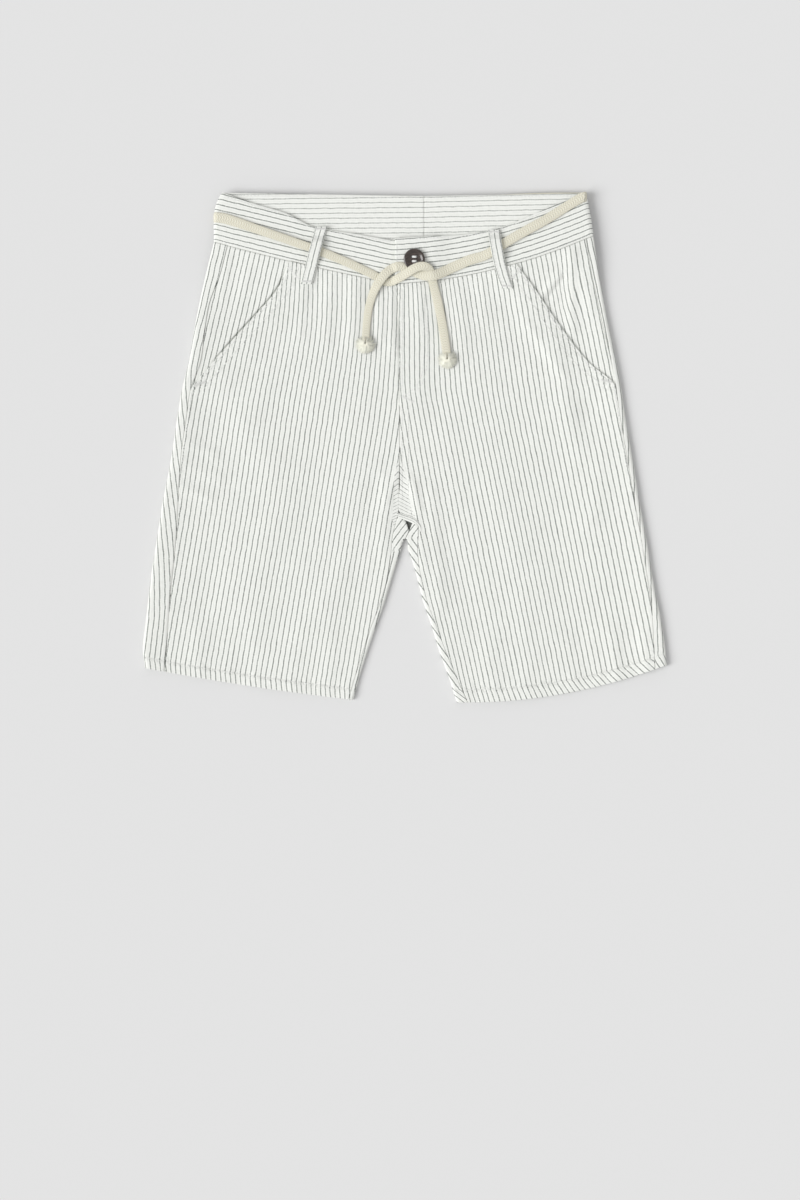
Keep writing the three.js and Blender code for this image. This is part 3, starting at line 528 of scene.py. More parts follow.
def pulled(edge, inside, reach):
    """Edge points drawn in towards their neighbours, which rounds the cloth's edge."""
    way = inside - edge
    length = lengths(way)[..., None] + 1e-9
    return edge + way / length * np.minimum(reach, 0.4 * length)


# The stripes are paler on the cloth's reverse
REVERSE_FADED = 0.35


def cloth_shell(name, points, normals, uv, wall, finish, node, slot, **drawn_marks):
    """A closed thin cloth with rounded edges from a grid of points on its outer side."""
    rows, columns = points.shape[:2]
    wall = np.broadcast_to(np.asarray(wall, float), (rows, columns))[..., None]
    drawn = points.copy()
    reach = 0.35 * float(wall.mean())
    drawn[0] = pulled(points[0], points[1], reach)
    drawn[-1] = pulled(points[-1], points[-2], reach)
    drawn[:, 0] = pulled(drawn[:, 0], drawn[:, 1], reach)
    drawn[:, -1] = pulled(drawn[:, -1], drawn[:, -2], reach)
    number = np.arange(rows * columns).reshape(rows, columns)
    border = np.concatenate([number[0, :-1], number[:-1, -1], number[-1, :0:-1], number[:0:-1, 0]])
    middle = (points - normals * wall / 2).reshape(-1, 3)[border]
    count = rows * columns
    places = np.concatenate([drawn.reshape(-1, 3), (drawn - normals * wall).reshape(-1, 3), middle])
    outer = np.stack([number[:-1, :-1], number[1:, :-1], number[1:, 1:], number[:-1, 1:]], -1).reshape(-1, 4)
    after = np.roll(border, -1)
    rim = 2 * count + np.arange(len(border))
    rim_after = np.roll(rim, -1)
    faces = np.concatenate([
        outer,
        outer[:, ::-1] + count,
        np.stack([border, after, rim_after, rim], -1),
        np.stack([rim, rim_after, after + count, border + count], -1),
    ])
    flat = uv.reshape(-1, 2)
    places_on_cloth = np.concatenate([flat, flat, flat[border]])
    pucker, crevice, inside, faded = (
        np.broadcast_to(drawn_marks.get(mark, 0.0), (rows, columns)).ravel()
        for mark in ("pucker", "crevice", "inside", "faded")
    )
    # Painted shade: one mark darkens both sides, from the values given for the outer side and the inside
    # values on the reverse
    marks = {
        "pucker": np.concatenate([pucker, pucker, pucker[border]]),
        "crevice": np.concatenate([crevice, inside, crevice[border]]),
        "faded": np.concatenate([faded, np.full(count, REVERSE_FADED), faded[border]]),
    }
    return made_piece(name, places, outwards(places, faces), places_on_cloth, finish, node, marks)


def edge_spaced(start, stop, count, edge=0.8):
    """Places from start to stop with one more close to each end."""
    way = 1 if stop > start else -1
    inner = np.linspace(start + way * edge, stop - way * edge, count)
    return np.concatenate([[start], inner, [stop]])


CHEVRON_ROWS = {"right": (6.3, 8.62), "left": (6.3, 8.42)}
EXTRA_ROWS = (
    0.03, 6.295, 6.305, 8.06, 8.19, 8.31, 8.415, 8.425, 8.56, 8.615, 8.625,
    15.31, 15.44, 15.56, 15.69, 15.81, 15.97,
)
ROWS = sorted(set(np.round(np.concatenate([np.arange(0, 16.01, 0.125), EXTRA_ROWS]), 3)))

# Stripe pitches at which the places of the stripes are given, on the front, the strips and the band
PITCH_ON_FRONT = 4.14
PITCH_ON_STRIP = 4.16
PITCH_ON_BAND = 4.05

# Above the crotch a wedge of each front shows its stripes as chevrons: its width at several heights
CHEVRON_SEAM_X = -4.6
CHEVRONS = {
    "right": table(("y", "width"), [
        (-62, 1.6), (-56, 4.6), (-40, 4.8), (-24, 4.2), (-16, 2.4), (-10, 1.6),
    ]),
    "left": table(("y", "width"), [
        (-58, 1.6), (-55.2, 2), (-51, 11), (-42, 9), (-24, 5), (-16, 2.6), (-10, 1.6),
    ]),
}
ROW_LENGTH = 20


def chevron_width(name, row):
    wedge = CHEVRONS[name]
    return float(np.interp(row.inner[1], wedge["y"], wedge["width"]))


def chevron_stripes(x, y, pitch):
    """Stripes that run down and away from the seam on both sides."""
    below = -19 - y
    number = 0.74 * below + 0.014 * np.maximum(below, 0) ** 2 - 0.8 * np.abs(x - CHEVRON_SEAM_X)
    return number * pitch / PITCH_ON_FRONT


def hem_roping(leg, row, x):
    """Below the hem stitching the cloth is dragged towards the wearer's left."""
    below = max(row.t - HEM_ROW, 0) * ROW_LENGTH
    share = 0.22 if leg.side < 0 else 0.1 + 0.5 * smoothstep(x, 60, 180)
    return -below * share


def panel_pucker(leg, row, x):
    """Where a panel is drawn in by its sewing: pocket mouth, hem, side seam and fly."""
    from_mouth = np.abs(x - row.mouth_x)
    pocket = sum(near_edge(np.abs(from_mouth - inside), 1.8) for inside in MOUTH_ROWS)
    pocket = pocket * (1 - smoothstep(row.t, 4.9, 5.2)) * 0.8
    pocket = pocket + 1.2 * near_edge(from_mouth, 9) * near_edge(abs(row.t - 4.75), 0.3)
    hem = 0.9 * near_edge(abs(row.t - HEM_ROW) * ROW_LENGTH, 2.2)
    side = 0.5 * near_edge(np.abs(x - row.seam_x), 2.5) * smoothstep(row.t, 4.6, 5)
    fly = 0.4 * near_edge(np.abs(x - row.inner[0]), 3) * (1 - smoothstep(row.t, 7.6, 8))
    waist = 0.8 * near_edge(row.t * ROW_LENGTH, 2.5)
    return pocket + hem + side + fly + waist


def hem_relief(leg, row, x):
    """The groove of the hem stitching and the small puckers across it."""
    off = (row.t - HEM_ROW) * ROW_LENGTH
    ripple = np.sin(x / 1.9 + 1.3 * np.sin(x / 11)) + 0.6 * np.sin(x / 3.7 + 2)
    return -0.3 * near_edge(abs(off), 1.1) + 0.11 * ripple * near_edge(abs(off), 4.5)


def front_panel(name, leg, finish, pitch):
    """Front panel: from the pocket mouth or the side seam to the fly or the inseam."""
    points, places, puckers, crevices, fades = [], [], [], [], []
    for t in ROWS:
        row = leg_row(leg, t)
        start = row.mouth_x - leg.side * (0 if t < POCKET_END_ROW else SEAM_GAP / 2)
        under_fly = leg.side < 0 and t < FLY_END_ROW
        tuck = FLY_UNDERLAP if under_fly else leg.side * SEAM_GAP / 2
        stop = row.inner[0] + (tuck if t < INSEAM_FROM_ROW else 0)
        wedge = chevron_width(name, row)
        main = edge_spaced(start, stop + leg.side * wedge, 92)
        inside = np.concatenate([np.linspace(wedge - 0.08, 0.8, 8), [0]])
        x = np.concatenate([main, stop + leg.side * inside])
        y = on_row(row, x)
        points.append(np.stack([x, y, front_top(leg, row, x, y) + hem_relief(leg, row, x)], -1))
        across = stripe_number(leg, x, y) * pitch + hem_roping(leg, row, x)
        faded = np.zeros(len(x))
        if CHEVRON_ROWS[name][0] < t < CHEVRON_ROWS[name][1]:
            across[len(main):] = chevron_stripes(x[len(main):], y[len(main):], pitch)
            faded[len(main):] = 0.3
        places.append(np.stack([across, y], -1))
        puckers.append(panel_pucker(leg, row, x))
        # Painted shade along the edge of the right front that lies under the fly
        beside_fly = near_edge(np.abs(x - row.inner[0]), 0.9) * smoothstep(t, 0.8, 2)
        crevices.append(0.3 * beside_fly * under_fly)
        fades.append(faded)
    points = np.array(points)
    wall = np.array([[CLOTH_WALL + float(hem_extra(t))] for t in ROWS])
    return cloth_shell(
        f"front_{name}_cloth", points, facing_up(points), np.array(places), wall, finish,
        f"front_{name}", "striped_cotton",
        pucker=np.array(puckers), crevice=np.array(crevices), faded=np.array(fades),
    )


def pocket_facing(name, leg, finish, pitch):
    """Hip piece that shows inside the pocket mouth."""
    points, places, crevices = [], [], []
    for t in np.linspace(0, FACING_END_ROW, 72):
        row = leg_row(leg, t)
        start = row.seam_x - leg.side * SEAM_GAP / 2
        stop = row.mouth_x - leg.side * POCKET_UNDERLAP
        reach = min(2.6, 0.9 * abs(start - row.mouth_x))
        shown = np.linspace(start, row.mouth_x + leg.side * reach, 46)
        near = row.mouth_x + leg.side * reach * np.array([0.85, 0.7, 0.55, 0.42, 0.3, 0.2, 0.08, -0.08])
        hidden = np.linspace(row.mouth_x - leg.side, stop, 8)
        x = np.concatenate([shown, near, hidden])
        y = on_row(row, x)
        groove = leg.groove * near_edge(np.abs(x - row.mouth_x - leg.side * 0.7), 0.75)
        groove = groove * smoothstep(t, 0.15, 0.8) * (1 - smoothstep(t, 3.2, 4.2))
        points.append(np.stack([x, y, top_height(row, x, y) - SUNK_EDGE - groove], -1))
        # Painted shade in the groove beside the pocket mouth's edge
        crevices.append(0.16 * groove)
        wave = 3.6 * near_edge(np.abs(x - 132), 9) * near_edge(np.abs(y - 124), 22)
        across = (x - leg.facing_lean * (y - 94)) * pitch / PITCH_ON_STRIP + wave
        places.append(np.stack([across, y], -1))
    points = np.array(points)
    return cloth_shell(
        f"pocket_facing_{name}_cloth", points, facing_up(points), np.array(places), FACING_SHOWN, finish,
        f"pocket_facing_{name}", "striped_cotton", crevice=np.array(crevices),
    )


ROLL_STEPS = 10
UNDER_STEPS = 60
STRIP_STEPS = 8
INNER_STEPS = 6
HALF_ROLL_STEP = 0.13


def roll(x, y, low, radius, out, angles):
    """Half-round roll of a cloth edge: angle 0 is its underside and pi its top."""
    reach = radius * np.sin(angles)
    points = np.stack([x + out[0] * reach, y + out[1] * reach, low + radius * (1 - np.cos(angles))], -1)
    normals = np.stack([out[0] * np.sin(angles), out[1] * np.sin(angles), -np.cos(angles)], -1)
    return points, normals


def straight(x, y, z, normal):
    points = np.stack([x, y, z * np.ones_like(x)], -1)
    return points, np.tile(np.array(normal, float), (len(x), 1))


def back_line(leg, t):
    """One row of a back panel: points, normals and how far each lies from the fold on the cloth."""
    row = leg_row(leg, t)
    side_radius = float(side_fold_height(t)) / 2
    seam = row.seam_x + leg.side * SEAM_GAP / 2
    side_x = row.outer[0] - leg.side * side_radius
    side_y = float(on_row(row, side_x))
    share = np.linspace(0, 1, STRIP_STEPS + 1)[:-1]
    x = lerp(seam, side_x, share)
    y = lerp(float(on_row(row, seam)), side_y, share)
    parts = [straight(x, y, top_height(row, x, y), (0, 0, 1))]
    unrolled = [x]
    angles = np.pi * np.linspace(1, 0, ROLL_STEPS + 1)
    low = float(rest_level(side_y))
    parts.append(roll(side_x, side_y, low, side_radius, (leg.side, 0), angles))
    unrolled.append(side_x + leg.side * side_radius * (np.pi - angles))
    sag = leg.bulge - 1 if t > 15 else 0
    share = np.linspace(0, 1, UNDER_STEPS + 1)[1:-1]
    x = lerp(side_x, row.fold[0], share)
    y = lerp(side_y, row.fold[1], share) - sag * 4 * share * (1 - share)
    parts.append(straight(x, y, rest_level(y), (0, 0, -1)))
    start = side_x + leg.side * np.pi * side_radius
    unrolled.append(start + np.abs(x - side_x) * leg.side)
    edge = start + abs(row.fold[0] - side_x) * leg.side
    for part, place in inner_parts(leg, row, edge):
        parts.append(part)
        unrolled.append(place)
    points = np.concatenate([part[0] for part in parts])
    normals = np.concatenate([part[1] for part in parts])
    return points, normals, np.concatenate(unrolled)


def inner_parts(leg, row, edge):
    """The rest of a back row from its inner edge: flat to the seat seam, or rolled over the fold."""
    if row.turn < 0.01:
        share = np.linspace(0, 1, ROLL_STEPS + 1 + INNER_STEPS)
        x = lerp(row.fold[0], row.end[0], share)
        y = lerp(row.fold[1], row.end[1], share)
        return [(straight(x, y, rest_level(y), (0, 0, -1)), edge + np.abs(x - row.fold[0]) * leg.side)]
    radius = float(inner_fold_height(row.t)) / 2
    angles = np.pi * row.turn * np.linspace(0, 1, ROLL_STEPS + 1)
    rolled, normals = roll(*row.fold, 0, radius, row.out, angles)
    parts = [((rolled, normals), edge + leg.side * radius * angles)]
    steps = np.arange(1, INNER_STEPS + 1)
    far = edge + leg.side * radius * np.pi
    if row.turn < 0.99:
        lifted = rolled[-1] + np.stack([0 * steps, 0 * steps, HALF_ROLL_STEP * steps], -1)
        flank = (lifted, np.tile(normals[-1], (INNER_STEPS, 1)))
        return [*parts, (flank, far + leg.side * HALF_ROLL_STEP * steps)]
    x = lerp(row.fold[0], row.end[0], steps / INNER_STEPS)
    y = lerp(row.fold[1], row.end[1], steps / INNER_STEPS)
    on_top = straight(x, y, top_height(row, x, y), (0, 0, 1))
    return [*parts, (on_top, far + leg.side * np.hypot(x - row.fold[0], y - row.fold[1]))]


CROTCH_ROWS = (7, 7.3, 7.5, 7.65, 7.8, 7.9, 8, 8.5, 9)
LOBE_TURN_Y = -72
CROTCH_OPENING = (4, -61)


def back_panel(name, leg, finish, pitch):
    """Back panel: side seam on top, over the side fold, along the table and up to the inseam."""
    crotch = [back_line(leg, t) for t in CROTCH_ROWS]
    lines = []
    rows = sorted(set(ROWS) | set(CROTCH_ROWS) | {7.4, 7.57, 7.72, 7.85, 7.95})
    for t in rows:
        if CROTCH_ROWS[0] < t < CROTCH_ROWS[-1]:
            k = int(np.searchsorted(CROTCH_ROWS, t, side="left")) - 1
            share = (t - CROTCH_ROWS[k]) / (CROTCH_ROWS[k + 1] - CROTCH_ROWS[k])
            lines.append([lerp(a, b, share) for a, b in zip(crotch[k], crotch[k + 1])])
        else:
            lines.append(back_line(leg, t))
    points, normals, unrolled = (np.array(part) for part in zip(*lines))
    normals = normals / np.maximum(lengths(normals)[..., None], 1e-6)
    drift = curve(leg.strip["y"], leg.strip["shift"], points[..., 1])
    across = (unrolled - drift) * pitch / PITCH_ON_STRIP
    x, y = points[..., 0], points[..., 1]
    if leg.side > 0:
        slanted = 0.8 * x - 0.6 * np.abs(y - LOBE_TURN_Y)
    else:
        slanted = np.where(y > LOBE_TURN_Y - 10, 0.8 * x - 0.6 * y, 0.97 * x - 0.24 * (y - 122))
    inner = np.arange(across.shape[1])[None, :] > STRIP_STEPS + ROLL_STEPS + UNDER_STEPS
    rolled = np.array(rows)[:, None] > CROTCH_ROWS[1]
    across = np.where(inner & rolled, slanted * pitch / PITCH_ON_FRONT, across)
    below = np.maximum(np.array(rows)[:, None] - HEM_ROW, 0) * ROW_LENGTH
    across = across - below * (0.22 if leg.side < 0 else 0.5)
    places = np.stack([across, y], -1)
    hem = 0.9 * near_edge(np.abs(np.array(rows)[:, None] - HEM_ROW) * ROW_LENGTH, 2.2)
    # Painted shade on the cloth's reverse round the crotch opening
    opening = np.hypot(x - CROTCH_OPENING[0], y - CROTCH_OPENING[1])
    inside = 0.8 * (1 - smoothstep(opening, 9, 20)) * ~(inner & rolled)
    wall = np.array([[CLOTH_WALL + float(hem_extra(t))] for t in rows])
    return cloth_shell(
        f"back_{name}_cloth", points, normals, places, wall, finish, f"back_{name}", "striped_cotton",
        pucker=hem, inside=inside,
    )


# Waistband: its lower edge follows the waist seam, its upper edge this table
BAND_COLUMNS = ("row", "low_x", "top_x", "top_y")
BANDS = {
    "right": SimpleNamespace(
        leg=LEGS["right"], centre_back=(16.15, 201), fold_top=(-145, 203.5), bulge=(3.8, 1.6),
        rows=table(BAND_COLUMNS, [
            (0, 22, 21.5, 161.5),
            (1, -5, -7.5, 165),
            (2, -39.5, -38, 170.5),
            (3, -74, -71.5, 176),
            (4, -98, -94, 187),
            (5, -124, -119, 194.5),
            (6, -150.3, -143.3, 203),
        ],
    )),
    "left": SimpleNamespace(
        leg=LEGS["left"], centre_back=(15.85, 201), fold_top=(145, 203), bulge=(0.6, 1),
        rows=table(BAND_COLUMNS, [
            (0, -7.5, -7.5, 167),
            (1, 22, 21, 168.5),
            (2, 49, 46.5, 170),
            (3, 77, 73.5, 174.5),
            (4, 102, 98, 184),
            (5, 127, 122, 194),
            (6, 149.3, 143.3, 202),
        ],
    )),
}
BAND_RADIUS = (LAYER_STEP + BAND_WALL + 0.1) / 2
BAND_PUFF = 0.35


def band_bulge(band, v):
    """How far the band's side fold stands out between its two edges."""
    most, lean = band.bulge
    return most * np.sin(np.pi * np.clip(v, 0, 1) ** lean) ** 0.7


def band_line(band, t, v):
    """Points across the front of a band at a place along it; v is 0 at the waist seam and 1 on top."""
    low_x, top_x, top_y = (float(curve(band.rows["row"], band.rows[name], t)) for name in BAND_COLUMNS[1:])
    low_y = waist_seam_y(low_x) + SEAM_GAP
    x = lerp(low_x, top_x, v) + band.leg.side * band_bulge(band, v) * smoothstep(t, 4.6, 6)
    y = lerp(low_y, top_y, v)
    z = band_surface(y) + (band_overlap(x) if band.leg.side > 0 else 0)
    z = z + BAND_PUFF * np.sin(np.pi * np.clip(v, 0, 1)) ** 0.5
    return np.stack([x, y, z], -1)


def band_back_line(band, share, v):
    """Points across the back of a band: share is 0 at the side fold and 1 at the centre back seam."""
    leg = band.leg
    first = leg_row(leg, 0)
    low_y = float(on_row(first, first.outer[0] - leg.side * BAND_RADIUS)) + SEAM_GAP
    fold_x = lerp(first.outer[0], band.fold_top[0], v) + leg.side * (band_bulge(band, v) - BAND_RADIUS)
    x = lerp(fold_x, band.centre_back[0], share)
    low = lerp(low_y, 165 + SEAM_GAP, share)
    y = lerp(low, lerp(band.fold_top[1], band.centre_back[1], share), v)
    return np.stack([x, y, rest_level(y)], -1)


def waistband(name, band, finish, pitch):
    """A band from the centre front round the side fold to the centre back seam."""
    leg = band.leg
    v = np.concatenate([[0, 0.03], np.linspace(0.08, 0.92, 12), [0.97, 1]])
    up = np.zeros((len(v), 3))
    up[:, 2] = 1
    lines, normals = [], []
    for t in np.concatenate([[0, 0.03], np.linspace(0.1, 6, 60)]):
        lines.append(band_line(band, t, v))
        normals.append(up)
    fold_line = band_back_line(band, 0, v)
    for angle in np.pi * np.linspace(1, 0, 13)[1:]:
        rolled = [roll(x, y, z, BAND_RADIUS, (leg.side, 0), np.array([angle])) for x, y, z in fold_line]
        lines.append(np.array([points[0] for points, _ in rolled]))
        normals.append(np.array([normal[0] for _, normal in rolled]))
    for share in np.concatenate([np.linspace(0, 0.99, 60)[1:], [1]]):
        lines.append(band_back_line(band, share, v))
        normals.append(-up)
    points = np.array(lines)
    along = running(lengths(np.diff(points[:, 8], axis=0)))
    height = lengths(points[:, -1] - points[:, 0])
    across = height[:, None] * v[None, :] * pitch / PITCH_ON_BAND + 0.4 * pitch
    places = np.stack([across, np.broadcast_to(along[:, None], across.shape)], -1)
    return cloth_shell(
        f"waistband_{name}_cloth", points, np.array(normals), places, BAND_SHOWN, finish,
        f"waistband_{name}", "band_cotton",
    )


def over_cord(distance):
    """Full over the cord, nothing 11 mm beside its middle."""
    return 1 - smoothstep(abs(distance), 5, 11.5)


FRONT_LOOPS = {
    "right": SimpleNamespace(top=(-66, 176), low=(-78, 130.5), bend=0, cord_y=158),
    "left": SimpleNamespace(top=(71.5, 173.5), low=(82.5, 127), bend=-3.5, cord_y=159.5),
}
BACK_LOOPS = {"right": -80, "centre": 16, "left": 82}


def front_loop_centre(loop, s):
    middle_x = (loop.top[0] + loop.low[0]) / 2 + loop.bend
    middle_y = (loop.top[1] + loop.low[1]) / 2
    x = (1 - s) ** 2 * loop.top[0] + 2 * s * (1 - s) * middle_x + s * s * loop.low[0]
    y = (1 - s) ** 2 * loop.top[1] + 2 * s * (1 - s) * middle_y + s * s * loop.low[1]
    ground = max(cloth_top(x, y), cloth_top(x - 5, y), cloth_top(x + 5, y))
    lift = CORD_THICKNESS + 0.3
    return x, y, ground + 0.3 + LOOP_WALL + lift * float(over_cord(y - loop.cord_y))


def back_loop_centre(x, s):
    y = lerp(200, 148, s)
    share = smoothstep((x + 147) / 291, 0.05, 0.95)
    cord_y = lerp(182.5, 197.5, share)
    free = float(rest_level(y)) - SEAM_GAP - LOOP_WALL
    return x, y, lerp(free, 0, float(over_cord(y - cord_y)))


def belt_loop(name, centre, facing, finish, node):
    """A loop is a narrow strip along a centre line, folded so that its edges are soft."""
    steps = np.linspace(0, 1, 41)
    sides = np.array([-1, -0.86, -0.6, -0.3, 0, 0.3, 0.6, 0.86, 1])
    crown = -0.28 * sides**4
    points, places, along = [], [], 0.0
    before = None
    for s in steps:
        x, y, z = centre(s)
        if before is not None:
            along += math.dist((x, y, z), before)
        before = (x, y, z)
        across = sides * LOOP_WIDTH / 2
        points.append(np.stack([x + across, y + 0 * across, z + facing * crown], -1))
        places.append(np.stack([across, along + 0 * across], -1))
    points = np.array(points)
    normals = facing * facing_up(points)
    return cloth_shell(name, points, normals, np.array(places), LOOP_SHOWN, finish, node, "band_cotton")


# Cord routes on the front: place, level (0 on the cloth, 1 over another strand), width share
ROUTE_COLUMNS = ("x", "y", "level", "width")
KNOT_FROM_RIGHT = table(ROUTE_COLUMNS, [
    (21.6, 137.2, 0.1, 0.88), (20.2, 141, 0.6, 0.88), (17.4, 143.6, 0.95, 0.88), (13.4, 144.2, 1, 0.88),
    (8.6, 142.7, 1, 0.88), (3, 139.4, 0.75, 0.88), (-1.8, 136.5, 0.35, 0.88), (-6.6, 134, 0.1, 0.86),
    (-11.4, 132.2, 0, 0.84), (-17, 133.2, 0, 0.84), (-24.2, 137.6, 0, 0.84), (-33, 141.8, 0, 0.84),
    (-42, 146, 0, 0.84), (-60, 153.6, 0, 0.84), (-72, 158.2, 0, 0.84), (-84, 162.4, 0, 0.84),
    (-105, 169.6, 0, 0.86), (-125, 176.6, 0, 0.92), (-138, 181, 0, 0.98), (-144, 182.7, 0, 1),
    (-149.4, 183.4, 0, 1),
])
KNOT_FROM_LEFT = table(ROUTE_COLUMNS, [
    (143, 199.8, 0, 0.95), (140, 198.4, 0, 0.95), (130, 192.4, 0, 0.95), (114, 182.2, 0, 0.95),
    (95, 171.6, 0, 0.95), (82, 164, 0, 0.95), (73.5, 158.6, 0, 0.95), (64, 153, 0, 0.95),
    (52.6, 149.6, 0, 1), (44.6, 146.2, 0, 1), (36.6, 142.6, 0.1, 1), (29.4, 139.2, 0.5, 1),
    (23, 136.8, 1, 0.98), (16.6, 136.8, 0.7, 0.95), (11, 138.6, 0.25, 0.92), (5.4, 141.1, 0, 0.9),
    (0, 143.4, 0, 0.9),
])
END_RIGHT = table(ROUTE_COLUMNS, [
    (3, 142.3, 0, 0.9), (-1, 143.7, 0, 0.9), (-5, 144.2, 0.1, 0.9), (-9.8, 142.4, 0.45, 0.9),
    (-14.6, 138.8, 0.85, 0.9), (-19, 133.6, 1, 0.9), (-22.6, 128, 0.8, 0.86), (-25.8, 120.8, 0.35, 0.82),
    (-28.2, 112, 0.05, 0.78), (-29.6, 102.4, 0, 0.75), (-30.4, 93, 0.1, 0.75), (-30.8, 84.5, 0.5, 0.75),
])
END_LEFT = table(ROUTE_COLUMNS, [
    (21.8, 138, 0, 0.86), (22.7, 132.8, 0, 0.86), (24.2, 126.4, 0, 0.87), (26.6, 117.6, 0, 0.88),
    (28.8, 107.2, 0, 0.88), (30.7, 96.8, 0, 0.88), (32.4, 86.4, 0.1, 0.86), (33.8, 76.5, 0.3, 0.82),
    (34.4, 71.5, 0.5, 0.8),
])


def front_stations(route, step=1.3):
    """Stations of a cord laid on the front: places, the way its flat side faces, and its width."""
    run = running(np.hypot(np.diff(route["x"]), np.diff(route["y"])))
    at = np.linspace(0, run[-1], max(int(run[-1] / step), 12))
    x, y, level, width = (curve(run, route[name], at) for name in ROUTE_COLUMNS)
    ground = np.array([cloth_top(a, b) for a, b in zip(x, y)])
    padded = np.concatenate([[ground[0]] * 2, ground, [ground[-1]] * 2])
    ground = np.convolve(padded, [0.12, 0.23, 0.3, 0.23, 0.12], mode="valid")
    z = ground + CORD_ON_CLOTH + np.clip(level, 0, 1.02) * CORD_ON_CORD * 0.8
    points = np.stack([x, y, z], -1)
    up = np.tile([0.0, 0.0, 1.0], (len(at), 1))
    return points, up, width


SIDE_TURN_SHARE = 0.78


def side_turn(x, y, side):
    """The cord's turn round the side of the waist, down to the back."""
    high = cloth_top(x, y) + CORD_ON_CLOTH
    low = WAIST_LIFT - CORD_ON_CLOTH
    radius = (high - low) / 2
    angles = np.pi * np.arange(1, 14) / 14
    reach = SIDE_TURN_SHARE * radius * np.sin(angles)
    points = np.stack([x + side * reach, y + 0 * reach, low + radius * (1 + np.cos(angles))], -1)
    up = np.stack([side * np.sin(angles), 0 * angles, np.cos(angles)], -1)
    return points, up, np.ones(len(angles))


def back_run(start, stop):
    share = np.linspace(0, 1, 90)
    x = lerp(start[0], stop[0], share)
    y = lerp(start[1], stop[1], smoothstep(share, 0.05, 0.95))
    points = np.stack([x, y, np.full_like(x, WAIST_LIFT - CORD_ON_CLOTH)], -1)
    return points, np.tile([0.0, 0.0, -1.0], (len(x), 1)), np.ones(len(x))


CORD_SIDES = 18
CORD_SHOWN = 1.7


def tube_quads(count, sides):
    """Point numbers of a tube's rings, of the points beside them, and the quads between the rings."""
    number = np.arange(count * sides).reshape(count, sides)
    after = np.roll(number, -1, axis=1)
    quads = np.stack([number[:-1], number[1:], after[1:], after[:-1]], -1).reshape(-1, 4)
    return number, after, quads


def rod_faces(base, rings, sides):
    """Faces of a small closed rod whose points are numbered ring by ring from a base."""
    faces = []
    for ring in range(rings - 1):
        for k in range(sides):
            a = base + ring * sides + k
            b = base + ring * sides + (k + 1) % sides
            faces.append([a, b, b + sides, a + sides])
    last = base + (rings - 1) * sides
    faces.append([base + k for k in reversed(range(sides))])
    faces.append([last + k for k in range(sides)])
    return faces


def flat_cord(name, stations, finish, node):
    """A flat woven cord through its stations, with closed ends."""
    points, up, width = stations
    tangent = unit(np.gradient(points, axis=0))
    normal = unit(up - tangent * np.einsum("ij,ij->i", up, tangent)[:, None])
    across = np.cross(tangent, normal) * width[:, None]
    points = points - normal * (CORD_THICKNESS - CORD_SHOWN) / 2
    angles = 2 * np.pi * np.arange(CORD_SIDES) / CORD_SIDES
    thick = np.sign(np.cos(angles)) * np.abs(np.cos(angles)) ** 0.5 * CORD_SHOWN / 2
    wide = np.sign(np.sin(angles)) * np.abs(np.sin(angles)) ** 0.9 * CORD_WIDTH / 2
    rings = points[:, None] + normal[:, None] * thick[:, None] + across[:, None] * wide[:, None]
    count = len(points)
    number, after, sides = tube_quads(count, CORD_SIDES)
    places = np.concatenate([rings.reshape(-1, 3), points[:1], points[-1:]])
    run = running(lengths(np.diff(points, axis=0)))
    round_place = np.abs(angles - np.pi) * 3.4
    uv = np.stack(np.broadcast_arrays(round_place[None, :], run[:, None]), -1).reshape(-1, 2)
    uv = np.concatenate([uv, [[5, 0], [5, run[-1]]]])
    first, last = count * CORD_SIDES, count * CORD_SIDES + 1
    a, b, c = places[sides[0][:3]]
    turned = np.dot(np.cross(b - a, c - a), a - rings[0].mean(0)) <= 0
    if turned:
        sides = sides[:, ::-1]
    caps = []
    for k in range(CORD_SIDES):
        a, b = number[0, k], after[0, k]
        c, d = number[-1, k], after[-1, k]
        caps.append([first, b, a] if turned else [first, a, b])
        caps.append([last, c, d] if turned else [last, d, c])
    return made_piece(name, places, [*sides.tolist(), *caps], uv, finish, node)


def joined(*runs):
    return tuple(np.concatenate([run[k] for run in runs]) for k in range(3))


def reversed_run(run):
    return tuple(part[::-1] for part in run)


# Materials


class Value:
    """A number or colour on the surface, carried by one output socket, that can be used in sums."""

    def __init__(self, finish, socket):
        self.finish = finish
        self.socket = socket

    def math(self, operation, other=None, swapped=False):
        pair = (other, self) if swapped else (self, other)
        sockets = {k: part for k, part in enumerate(pair) if part is not None}
        return self.finish.node("ShaderNodeMath", {"operation": operation}, sockets)

    def __add__(self, other):
        return self.math("ADD", other)

    __radd__ = __add__

    def __sub__(self, other):
        return self.math("SUBTRACT", other)

    def __rsub__(self, other):
        return self.math("SUBTRACT", other, swapped=True)

    def __mul__(self, other):
        return self.math("MULTIPLY", other)

    __rmul__ = __mul__

    def __truediv__(self, other):
        return self.math("DIVIDE", other)

    def wave(self, pitch):
        """A sine wave of this value, repeating at a pitch."""
        return (self * (2 * math.pi / pitch)).math("SINE")

    def stepped(self, low, high, to_low=0.0, to_high=1.0):
        """A soft step from one value to another while this one goes from low to high."""
        settings = {"interpolation_type": "SMOOTHSTEP", "clamp": True}
        sockets = {0: self, 1: low, 2: high, 3: to_low, 4: to_high}
        return self.finish.node("ShaderNodeMapRange", settings, sockets)


